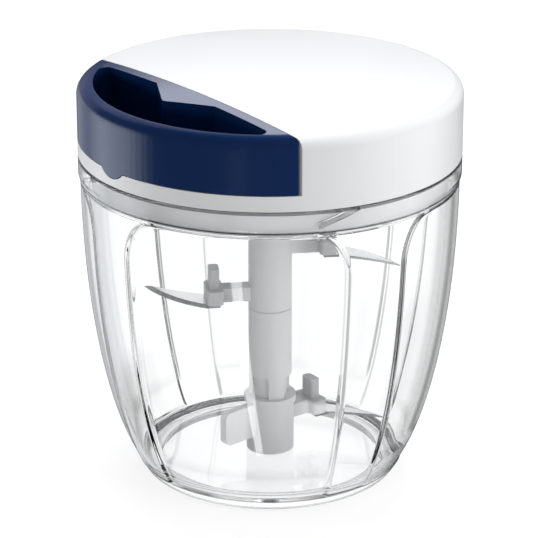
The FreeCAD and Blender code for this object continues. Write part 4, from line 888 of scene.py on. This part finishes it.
def make_bowl(finishes):
    """The clear bowl as one even grid: rows follow its half section, lines follow the arches, and the
    panels are set in by panel_depth, outside and inside alike, so that their edges are soft steps in a
    wall of even thickness. The attribute that carries painted shade along the panels' edges and in the
    groove is t * s * (1 - s) + u * exp(-(z / g)^2), s being the share of a panel's depth, z the height from
    the groove's middle, g the groove's half width, and t and u the two shades."""
    rows, outer, cavity = bowl_rows()
    order = np.arange(len(rows))
    on_outer = ((order >= outer[0]) & (order < outer[1]))[:, None]
    on_cavity = ((order >= cavity[0]) & (order < cavity[1]))[:, None]
    low = (order < outer[0]) | (order >= cavity[1])
    radius, height = rows[:, :1], rows[:, 1:]
    plain = np.where(low, math.radians(PANEL_HALF), math.radians(NECK_HALF))
    lines = panel_lines(np.where((on_outer | on_cavity)[:, 0], panel_edge(height)[:, 0], plain))
    depth = panel_depth(lines, height)
    groove = np.where(on_outer, np.exp(-((height - COLLAR) / GROOVE_HALF) ** 2), 0.0)
    under_crest = np.clip((CREST - height) / FADE_TOP, 0.0, 1.0)
    over_floor = np.clip((height - FLOOR - FLOOR_ROUND) / FADE_LOW, 0.0, 1.0)
    inner_inset = depth * eased(under_crest * over_floor)
    outer_inset = np.maximum(depth, GROOVE_DEPTH * groove)
    inset = np.where(on_outer, outer_inset, np.where(on_cavity, inner_inset, 0.0))
    share = inset / PANEL_DEPTH
    # Painted shade along the panels' edges and in the groove, standing in for the dark lines that they
    # refract.
    tint = np.tile(STEP_SHADE * share * (1.0 - share) + GROOVE_SHADE * groove, (1, PANELS)).ravel()
    middles = math.radians(PANEL_MIDDLE) + np.arange(PANELS) * 2 * math.pi / PANELS
    angles = lines[:, None, :] + middles[None, :, None]
    wall = round_axis((radius - inset)[:, None, :], angles, height[:, :, None])
    catches = catch_points()
    faces = ring_faces(len(rows), len(wall) // len(rows))
    for count in range(PANELS):
        first = len(wall) + count * len(catches) // PANELS
        faces += ring_faces(CATCH_STEPS, len(catches) // PANELS // CATCH_STEPS, first, turned=True)
    bowl = new_piece("clear_bowl", np.concatenate([wall, catches]), faces, finishes["clear_plastic"])
    steps = bowl.data.attributes.new("painted_step_shade", "FLOAT", "POINT")
    steps.data.foreach_set("value", np.concatenate([tint, np.zeros(len(catches))]))
    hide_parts("bowl")
    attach(bowl, "bowl")


# The cord's way in millimetres, seen from above: off the drum, round the eyelet's mouth, straight to the
# stop.
CORD_LEVEL = 128.1
CORD_RADIUS = 0.8
CORD_SIDES = 20
DRUM_LINE = 18.1
EYELET_BEND = 3.1
FRONT_WALL = 28.8
STOP_LINE = 36.6


def cord_route():
    """Points along the middle of the cord, from the drum to the stop in the handle: a straight run that
    leaves the drum square to its radius, an arc about the eyelet's bend, and a straight run along -Y."""
    centre = np.array((-EYELET_BEND, -FRONT_WALL))
    lean = math.asin((DRUM_LINE + EYELET_BEND) / np.linalg.norm(centre))
    lean -= math.atan2(EYELET_BEND, FRONT_WALL)
    left = np.array((math.cos(lean), math.sin(lean)))
    start = -DRUM_LINE * left
    bend = centre + EYELET_BEND * left
    first = start + (bend - start) * np.linspace(0.0, 1.0, num=12)[:, None]
    turns = np.linspace(lean, 0.0, num=8)[1:]
    arc = centre + EYELET_BEND * np.column_stack([np.cos(turns), np.sin(turns)])
    ahead = np.linspace(-FRONT_WALL, -STOP_LINE, num=41)[1:]
    flat = np.concatenate([first, arc, np.column_stack([0.0 * ahead, ahead])])
    return np.column_stack([flat, np.full(len(flat), CORD_LEVEL)])


def make_cord(finishes):
    """The pull cord as a tube: r * (cos(a) * side + sin(a) * up) about each point of its route, side
    being level and square to the route."""
    route = cord_route()
    ahead = np.concatenate([route[1:], route[-1:]]) - np.concatenate([route[:1], route[:-1]])
    length = np.linalg.norm(ahead, axis=1)
    side = np.column_stack([-ahead[:, 1] / length, ahead[:, 0] / length, 0.0 * length])
    turns = 2 * math.pi * np.arange(CORD_SIDES) / CORD_SIDES
    up = np.array((0.0, 0.0, 1.0))
    swing = np.cos(turns)[:, None] * side[:, None] + np.sin(turns)[:, None] * up
    points = (route[:, None] + CORD_RADIUS * swing).reshape(-1, 3)
    faces = ring_faces(len(route), CORD_SIDES)
    cord = new_piece("pull_cord", points, faces, finishes["cord"])
    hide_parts("cord_run")
    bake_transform(cord)


# Bounces enough for light to pass both walls of the bowl and what stands inside it.
CLEAR_BOUNCES = 28
GLOSSY_BOUNCES = 16

bpy.context.scene.view_settings.view_transform = "Standard"
bpy.context.scene.cycles.max_bounces = CLEAR_BOUNCES
bpy.context.scene.cycles.transmission_bounces = CLEAR_BOUNCES
bpy.context.scene.cycles.glossy_bounces = GLOSSY_BOUNCES
place_camera()
finishes = dress_nodes()
make_bowl(finishes)
make_cord(finishes)
lay_table()
light_room()
light_object()
